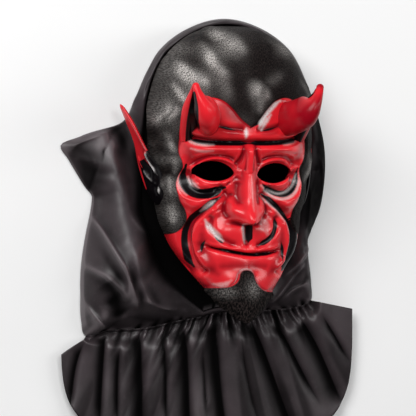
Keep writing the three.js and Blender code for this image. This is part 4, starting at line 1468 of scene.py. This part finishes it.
# %% The hood's folds
HOOD_FOLDS = [
    Stroke(13, 7, (-106, 42), (-109, 5), (-103, -38), (-98, -72), (-93, -105), ends=0.15),
    Crease(
        2.1, 7.0, (-89, -134), (-96, -117), (-104, -97), (-113, -80), (-124, -57), (-136, -38), ends=0.12,
    ),
    Crease(2.0, 6.0, (-146, -86), (-134, -94), (-122, -102), (-111, -112), (-99, -126), ends=0.12),
    Crease(2.0, 6.0, (-104, -156), (-118, -151), (-130, -139), (-138, -126), (-145, -111), ends=0.15),
    Stroke(9, -5, (-116, -116), (-110, -130), (-105, -142), ends=0.3),
    Stroke(6, -2, (-126, -70), (-114, -92), (-105, -112), ends=0.35),
    Crease(2.0, 3.5, (-155, 18), (-138, 26), (-120, 33), (-104, 40), ends=0.2),
    Crease(1.8, 3.0, (-150, 10), (-136, 9), (-120, 2), ends=0.3),
    Crease(2.2, -3, (-106, 44), (-121, 10), (-130, -14), (-134, -30), ends=0.1),
    Crease(2.2, 4.0, (-118, 22), (-128, -14), (-137, -60), (-146, -110), ends=0.2),
    Crease(2.0, 2.4, (-99, -64), (-93, -92), (-84, -116), (-74, -132), ends=0.25),
    Stroke(6, 4, (-84, -40), (-76, -76), (-62, -108), ends=0.25),
    Crease(1.8, 3.0, (-88, -122), (-76, -127), (-62, -132), (-46, -134), ends=0.3),
    Stroke(5, -1.8, (-84, -104), (-72, -122), (-62, -134), ends=0.4),
    Crease(1.6, 3.2, (50, -102), (56, -86), (61.5, -63), (64, -42), ends=0.2),
    Crease(1.8, 5.0, (54, -104), (68, -90), (78, -78), (95, -52), ends=0.15),
    Crease(1.6, 4.0, (40, -131), (52, -120), (66, -100), (76, -88), ends=0.2),
    Crease(1.6, 3.6, (84, -106), (74, -111), (63, -117), (51, -129), ends=0.25),
    Stroke(4, -1.6, (58, -104), (68, -98), (74, -90), ends=0.4),
    Stroke(4, -1.6, (62, -124), (73, -112), (82, -98), ends=0.4),
    Crease(1.8, 3.4, (94, 16), (96, -16), (90, -50), ends=0.2),
    Crease(1.6, 2.4, (84, -14), (80, -44), (70, -70), ends=0.25),
]
# Painted shade: patches of the hood that turn from the light or lie beside the mask, each with its level.
HOOD_PAINTED_SHADE = [
    (0.95, Stroke(7, 0, (-122, -106), (-113, -118), (-107, -138), ends=0.1)),
    (0.8, Stroke(6, 0, (-96, -139), (-70, -143), (-40, -151), ends=0.2)),
    (0.5, Stroke(9, 0, (-66, -92), (-44, -118), (-18, -134), ends=0.2)),
    (0.7, Stroke(12, 0, (-152, 22), (-134, 6), (-132, -26), ends=0.2)),
    (0.8, Stroke(15, 0, (98, 70), (98, 10), (88, -30), (78, -66), ends=0.15)),
    (0.5, Stroke(9, 0, (86, -126), (88, -96), (84, -66), ends=0.2)),
    (0.6, Stroke(6, 0, (40, -122), (56, -130), (76, -136), ends=0.2)),
]
print(len(HOOD_FOLDS), "folds and", len(HOOD_PAINTED_SHADE), "places that lie in their shade")

# %% How high the hood stands
EAR_LINE = line_through(bezier(EARS[0]["path"], np.linspace(0, 1, 9))[:, :2] * (-1, 1))
PUCKER_HEIGHT = 2.6
PUCKER_RADIUS, PUCKER_STEP = 150, 1.7  # the seam's radius, and what one radian of a gather takes up on it
LOWEST, FLOOR_EASE = 0.2, 1.2  # the cloth eases onto its back panel and never sinks into it


def seam_pucker(angle, share):
    """The little gathers over the neck seam, from -1 to 1."""
    zone = smooth((angle - SEAM_START + 4) / 6) * smooth((SEAM_END + 4 - angle) / 6)
    length = 0.16 + 0.12 * noise(angle / 2.5, np.zeros_like(angle), 16)
    wave = np.sin(np.radians(angle) * PUCKER_RADIUS / PUCKER_STEP + 2.5 * noise(angle / 4, share * 2, 13))
    return wave * zone * smooth((share - 1 + length) / length)


def hood_height(angle, share, x, y):
    """How high the front of the hood stands over its back panel."""
    near_ear = smooth(EAR_LINE.reach(x, y)[0] / 22 - 0.35)
    left, right = bell((angle - 222) / 20), bell((angle - 318) / 15)
    loft = lerp(2, 7 + 22 * left + 11 * right, near_ear)
    hem = lerp(1.5, 4 + 15 * bell((angle - 220) / 26) + 5 * right, near_ear)
    brim = hem * np.cos(share * math.pi / 2) ** 0.6
    swell = (loft - 0.55 * hem) * np.sin(share**0.8 * math.pi) ** 0.7
    folds = sum(fold.rise(x, y) for fold in HOOD_FOLDS)
    wrinkle = 1.2 * noise(angle / 9, share * 2.5, 11) + 0.5 * noise(angle / 3.5, share * 5, 12)
    room = np.sin(np.clip(share, 0, 1) * math.pi * 0.5 + 0.35) * np.sin(share * math.pi) ** 0.35
    pucker = PUCKER_HEIGHT * seam_pucker(angle, share) * np.sin(share * math.pi) ** 0.3
    bulge = brim + swell + (folds + wrinkle * (0.4 + 0.6 * near_ear)) * room * near_ear + pucker
    return LOWEST + 0.5 * (bulge + np.hypot(bulge, FLOOR_EASE))


print("gathers on the seam:", round((SEAM_END - SEAM_START) / 360 * PUCKER_RADIUS / PUCKER_STEP))

# %% Lay the hood's sheet
HOOD_AROUND, HOOD_TOP, HOOD_BACK = 500, 80, 12
DRAPE_CROWD = (0.0, 0.84, 0.6)  # most of the rays run to the lower drape
HOOD_SHADE_SOFT = 16
SHADED_RIM = 0.28  # the front is painted in shade over this share of its way out from the face opening


def keep_shadow(bm, values):
    """Keeps each vertex's painted shade for the satin to read."""
    layer = bm.verts.layers.float.new("painted_shadow")
    for vertex, value in zip(bm.verts, values):
        vertex[layer] = value


def hood_shadow(angle, share, front, x, y):
    """The painted shade: where the hood turns from the light, along its edge, in its marked hollows,
    between its seam's tucks, and all over its back.
    """
    pucker = seam_pucker(np.mod(angle, 360), share)
    tucks = 0.9 * np.clip(0.2 - pucker, 0, 1) * smooth((share - 0.72) / 0.2)
    turned = np.maximum.reduce([level * in_shade.paint(x, y, HOOD_SHADE_SOFT) for level, in_shade in HOOD_PAINTED_SHADE])
    turned = np.maximum(turned, np.where(np.abs(pucker) > 0, tucks, 0))
    return np.where(front, np.maximum(1 - smooth(share / SHADED_RIM), turned), 1)


def hood_sheet():
    bm = bmesh.new()
    bmesh.ops.create_grid(bm, x_segments=HOOD_AROUND, y_segments=HOOD_TOP + HOOD_BACK, size=1)
    flat = coordinates(bm)
    angle = (crowd(flat[:, 0], *DRAPE_CROWD) + 1) * 180
    lane = (flat[:, 1] + 1) / 2 * (HOOD_TOP + HOOD_BACK)
    front = lane <= HOOD_TOP + 0.01
    share = np.where(front, 1 - (1 - np.clip(lane / HOOD_TOP, 0, 1)) ** 1.25, 1)
    back = np.clip((lane - HOOD_TOP) / HOOD_BACK, 0, 1)
    opening, outline = opening_radius(angle), hood_radius(angle)
    radius = np.where(front, lerp(opening, outline, share), outline * (1 - back))
    radius = np.where(back > 0.999, 0, radius)
    x, y = radius * np.cos(np.radians(angle)), radius * np.sin(np.radians(angle))
    top = 1.1 + hood_height(np.mod(angle, 360), share, x, y)
    under = 0.45 + 0.25 * (1 + noise(x / 9, y / 9, 21)) * smooth(back * 6)
    move_to(bm, np.stack([x, y, np.where(front, top, under)], axis=-1))
    keep_shadow(bm, hood_shadow(angle, share, front, x, y))
    bmesh.ops.remove_doubles(bm, verts=bm.verts, dist=0.001)
    bmesh.ops.recalc_face_normals(bm, faces=bm.faces)
    return bm


print("the hood is laid in", HOOD_AROUND, "rays")

# %% Cloth as an object
CLOTH = 0.5
FOLD_REACH, FOLD_LIMIT = 34, 5.0  # rounds of smoothing, so that a fold is compared with its surroundings


def lay_cloth(name, bm):
    """One sheet of satin with its folds as numbers and with its thickness."""
    piece = add_object(name, bm)
    shade_smooth(piece.data)
    store(piece.data, "cavity", cavity_numbers(piece.data, FOLD_REACH, FOLD_LIMIT))
    step = piece.modifiers.new("cloth", "SOLIDIFY")
    step.thickness = CLOTH * MM
    step.offset = 0
    step.use_even_offset = False
    return piece


hood = lay_cloth("hood_cloth", hood_sheet())
print("hood", len(hood.data.polygons), "faces")

# %% [markdown]
# The ruffle is a strip several times as long as the neck seam. It is drawn up on a gathering thread, so
# it starts in dozens of tight little tucks that merge into a dozen deep folds and spread to a wide hem.

# %% The ruffle's folds
HEM_X, HEM_Y, HEM_HALF_WIDTH, HEM_HALF_LENGTH, HEM_POWER = -18.0, -150.0, 142.0, 112.0, 3.5
SEAM_LAP = -0.6  # the gathered edge laps just over the hood's edge
RUFFLE_ALONG, RUFFLE_DOWN = 700, 62
# Where the hem is, in degrees, at places along the seam: it spreads most at its two ends.
HEM_PACE = ((0.0, 0.06, 0.16, 0.5, 0.82, 0.94, 1.0), (184.0, 212.0, 236.0, 268.0, 306.0, 338.0, 362.0))
# The valleys are drawn upwards from the hem, so that their gentle side, which gets the painted shade, is at
# the viewer's left.
VALLEYS = [
    Crease(2.3, 4.5, (-152, -235), (-146, -190), (-138, -160), ends=0.3),
    Crease(3.0, 6, (-124, -262), (-119, -180), (-116, -152), ends=0.25),
    Crease(2.1, 4.5, (-106, -262), (-105, -196), (-103, -162), ends=0.35),
    Crease(4.2, 9, (-82, -262), (-82, -190), (-84, -150), ends=0.15),
    Crease(2.1, 4, (-58, -262), (-59, -186), (-62, -150), ends=0.3),
    Crease(3.8, 8, (-35, -262), (-37, -185), (-42, -146), ends=0.15),
    Crease(1.8, 3, (-16, -262), (-20, -200), (-24, -158), ends=0.4),
    Crease(4.6, 9, (2, -262), (-7, -190), (-10, -144), ends=0.12),
    Crease(2.0, 3.5, (36, -262), (22, -200), (12, -150), ends=0.35),
    Crease(4.1, 8.5, (72, -262), (39, -176), (23, -140), ends=0.15),
    Crease(2.3, 5, (98, -236), (62, -168), (44, -140), ends=0.3),
    Crease(4.1, 8, (118, -232), (92, -172), (72, -140), ends=0.2),
    Crease(2.1, 4, (124, -190), (108, -160), (92, -136), ends=0.35),
]


def ruffle_edges(along):
    """Where the strip's seam edge and its hem lie, at places along it."""
    seam_angle = lerp(SEAM_START, SEAM_END, along)
    seam_radius = hood_radius(seam_angle) + SEAM_LAP
    turn = np.radians(seam_angle)
    seam = np.stack([seam_radius * np.cos(turn), seam_radius * np.sin(turn)], axis=-1)
    turn = np.radians(np.interp(along, *HEM_PACE))
    cos, sin = np.cos(turn), np.sin(turn)
    boxy_x = np.sign(cos) * np.abs(cos) ** (2 / HEM_POWER)
    boxy_y = np.sign(sin) * np.abs(sin) ** (2 / HEM_POWER)
    return seam, np.stack([HEM_X + HEM_HALF_WIDTH * boxy_x, HEM_Y + HEM_HALF_LENGTH * boxy_y], axis=-1)


print(len(VALLEYS), "valleys in the ruffle")

# %% How high the ruffle stands, and its painted shade
TIGHT_TUCKS, MERGED_TUCKS = 30, 17


def uneven_pace(along, down):
    """Places along the strip, shifted a little so that no two tucks are alike."""
    return along + 0.012 * noise(along * 9, down * 1.5, 35) + 0.005 * noise(along * 31, down * 3, 36)


def merged_wave(pace):
    return np.sin(2 * math.pi * MERGED_TUCKS * pace + 1.2)


def ruffle_height(along, down, x, y):
    pace = uneven_pace(along, down)
    tight = 0.5 + 0.5 * np.sin(2 * math.pi * TIGHT_TUCKS * pace)
    middle = 0.5 + 0.5 * merged_wave(pace)
    tall = 0.55 + 0.45 * noise(along * 22, down * 2, 37)
    near = 1 - smooth(down / 0.16)
    mid = smooth(down / 0.1) * (1 - smooth((down - 0.12) / 0.4))
    far = smooth((down - 0.02) / 0.2)
    valleys = sum(valley.rise(x, y) for valley in VALLEYS)
    swell = 9.5 + 1.8 * noise(along * 11, down * 1.6, 38) + 1.0 * noise(along * 26, down * 2.5, 39)
    fold = 4.6 * near * tight * tall + 3.5 * mid * middle * tall + far * (swell - valleys)
    puff = 4.6 * bell((down - 0.06) / 0.05) * (0.2 + 0.8 * tight * tall)
    return 1.2 + 2.2 * bell(down / 0.02) + 0.5 * (fold + np.hypot(fold, 1.5)) + puff


def ruffle_shadow(along, down, x, y):
    """The painted shade: where the folds turn from the light, between the tucks, and in darker streaks
    along the folds.
    """
    folds = np.maximum.reduce([valley.shade(x, y) for valley in VALLEYS]) * smooth((down - 0.02) / 0.14)
    tucks = 0.5 - 0.5 * merged_wave(uneven_pace(along, down))
    patches = smooth(0.45 + 0.9 * noise(along * 14, down * 1.3, 40))
    near_seam = 0.85 * tucks * patches * (1 - smooth((down - 0.1) / 0.35))
    shade_streaks = 0.55 * smooth(0.35 + 1.1 * noise(along * 26, down * 1.2, 41)) * smooth((down - 0.1) / 0.2)
    return np.clip(np.maximum.reduce([folds, near_seam, shade_streaks]), 0, 1)


print(TIGHT_TUCKS, "tucks at the seam merge into", MERGED_TUCKS)

# %% Lay the ruffle's strip
def ruffle_sheet():
    bm = bmesh.new()
    bmesh.ops.create_grid(bm, x_segments=RUFFLE_ALONG, y_segments=RUFFLE_DOWN, size=1)
    flat = coordinates(bm)
    along = (flat[:, 0] + 1) / 2
    down = ((1 - flat[:, 1]) / 2) ** 1.25
    seam, hem = ruffle_edges(along)
    plan = lerp(seam, hem, down[:, None])
    x, y = plan[:, 0], plan[:, 1]
    move_to(bm, np.column_stack([plan, ruffle_height(along, down, x, y)]))
    keep_shadow(bm, ruffle_shadow(along, down, x, y))
    bmesh.ops.recalc_face_normals(bm, faces=bm.faces)
    return bm


ruffle = lay_cloth("ruffle_cloth", ruffle_sheet())
print("ruffle", len(ruffle.data.polygons), "faces")

# %% [markdown]
# Black satin is dark where it turns from the light and silvery where it faces it. Here that shade is
# painted into its colour, from the stored painted shade and from how deep each spot lies in its folds, and
# its gloss is taken away there too, with a painted highlight along the crests. Its floating threads give a
# broad, slightly rough gloss rather than a sharp one. The thread pattern is too fine to see from a step
# away, so it stays a faint bump.

# %% Finish: black satin
SATIN_IN_PAINTED_SHADE = (0.0008, 0.0006, 0.0007)
SATIN_LIT, SATIN_LIT_CLOUDS = (0.030, 0.0228, 0.0255), (0.056, 0.043, 0.048)
SATIN_SLUBS = (0.080, 0.063, 0.069)
SATIN_CREST_HIGHLIGHT = (0.125, 0.105, 0.112)
THREADS = 1400.0


def satin_material(name, roughness):
    material, tree, shader, place = new_material(name)
    cloud = use_group(tree, uneven, Vector=place, Scale=22.0, Fine_Scale=420.0)
    thread = use_group(tree, weave, Vector=place, Threads=THREADS)
    height_of_fold = attribute(tree, "cavity").outputs["Fac"]
    lit = mix_colour(tree, map_range(tree, cloud.outputs["Broad"], 0.3, 0.7), SATIN_LIT, SATIN_LIT_CLOUDS)
    lit = mix_colour(tree, map_range(tree, thread.outputs["Slub"], 0.55, 0.8, 0.0, 0.4), lit, SATIN_SLUBS)
    # Painted highlight along the folds' crests.
    lit = mix_colour(tree, map_range(tree, height_of_fold, 0.45, 1.6, 0.0, 0.75), lit, SATIN_CREST_HIGHLIGHT)
    open_to_light = map_range(tree, attribute(tree, "painted_shadow").outputs["Fac"], 0.0, 1.0, 1.0, 0.0)
    # Painted shade in the folds' hollows and wherever the stored painted shade lies.
    lit_share = math_node(tree, "MULTIPLY", map_range(tree, height_of_fold, -1.7, 0.9), open_to_light)
    satin = mix_colour(tree, lit_share, SATIN_IN_PAINTED_SHADE, lit)
    rough = map_range(tree, lit_share, 0.0, 1.0, 0.9, roughness)
    feed(tree, shader, Base_Color=satin, Roughness=rough, Coat_Roughness=roughness)
    feed(tree, shader, Coat_Weight=math_node(tree, "MULTIPLY", lit_share, 0.65), Specular_IOR_Level=0.06)
    height = math_node(tree, "MULTIPLY", thread.outputs["Height"], 0.4)
    height = math_node(tree, "ADD", height, math_node(tree, "MULTIPLY", cloud.outputs["Fine"], 0.6))
    add_bump(tree, shader, "threads", height, 0.25, 0.0004)
    return material


hood.data.materials.append(satin_material("hood_satin", 0.40))
ruffle.data.materials.append(satin_material("ruffle_satin", 0.38))
for piece, node in ((hood, "hood"), (ruffle, "shoulder_ruffle")):
    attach(piece, "root")
    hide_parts(node)
print("cloth finished")

# %% [markdown]
# The set is plain: a pale floor, a large soft light at the upper left, a second at the right and one
# overhead. The long lens stands three metres off, 14 degrees to the left of the face's own axis, as the
# picture was taken.

# %% Floor
FLOOR_HALF = 3
PAPER, PAPER_CLOUDS = (0.86, 0.86, 0.86), (0.9, 0.9, 0.9)
floor_bm = bmesh.new()
bmesh.ops.create_grid(floor_bm, x_segments=1, y_segments=1, size=FLOOR_HALF)
floor = mesh_object("floor", floor_bm)
floor_paper, tree, shader, place = new_material("pale_paper")
cloud = use_group(tree, uneven, Vector=place, Scale=4.0, Fine_Scale=200.0)
paper = mix_colour(tree, cloud.outputs["Broad"], PAPER, PAPER_CLOUDS)
feed(tree, shader, Base_Color=paper, Roughness=0.9)
floor.data.materials.append(floor_paper)
print("floor laid")

# %% Lights
def soft_light(name, place, target, size, watts):
    """A rectangular area light that faces a target."""
    lamp = bpy.data.lights.new(name, "AREA")
    lamp.shape = "RECTANGLE"
    lamp.size, lamp.size_y = size
    lamp.energy = watts
    made = new_object(name, lamp)
    made.location = place
    made.rotation_euler = (Vector(target) - Vector(place)).to_track_quat("-Z", "Y").to_euler()


FILL = 0.12  # the white room's own light
middle = (0.0, 0.03, 0.03)
soft_light("key_upper_left", (-1.1, 1.0, 1.5), middle, (1.1, 1.1), 33)
soft_light("side_right", (1.5, 0.3, 1.1), middle, (0.5, 1.4), 11)
soft_light("overhead", (0.1, 0.6, 2.2), middle, (1.0, 0.6), 14)
world = bpy.data.worlds.new("studio")
bpy.context.scene.world = world
world.use_nodes = True
feed(world.node_tree, world.node_tree.nodes["Background"], Color=(1, 1, 1), Strength=FILL)
bpy.context.scene.view_settings.view_transform = "Standard"

# %% Camera
VIEW_TURN = math.radians(14)
CAMERA_FAR = 3.0
LENS, SENSOR = 272.4, 36
AIM_DOWN, AIM_LEFT = 37.0, 15.1  # the picture's middle, from the eye line and from the middle of the face
right_way = Vector((math.cos(VIEW_TURN), 0, math.sin(VIEW_TURN)))
towards = Vector((-math.sin(VIEW_TURN), 0, math.cos(VIEW_TURN)))
aim = Vector((FACE_X, FACE_Y - AIM_DOWN, 0)) * MM + right_way * (-AIM_LEFT * MM)
camera_data = bpy.data.cameras.new("camera")
camera_data.lens = LENS
camera_data.sensor_width = SENSOR
camera_data.clip_end = 20
camera = new_object("camera", camera_data)
camera.location = aim + towards * CAMERA_FAR
camera.rotation_euler = (0, -VIEW_TURN, 0)
bpy.context.scene.camera = camera
print("camera at", tuple(round(v, 3) for v in camera.location))
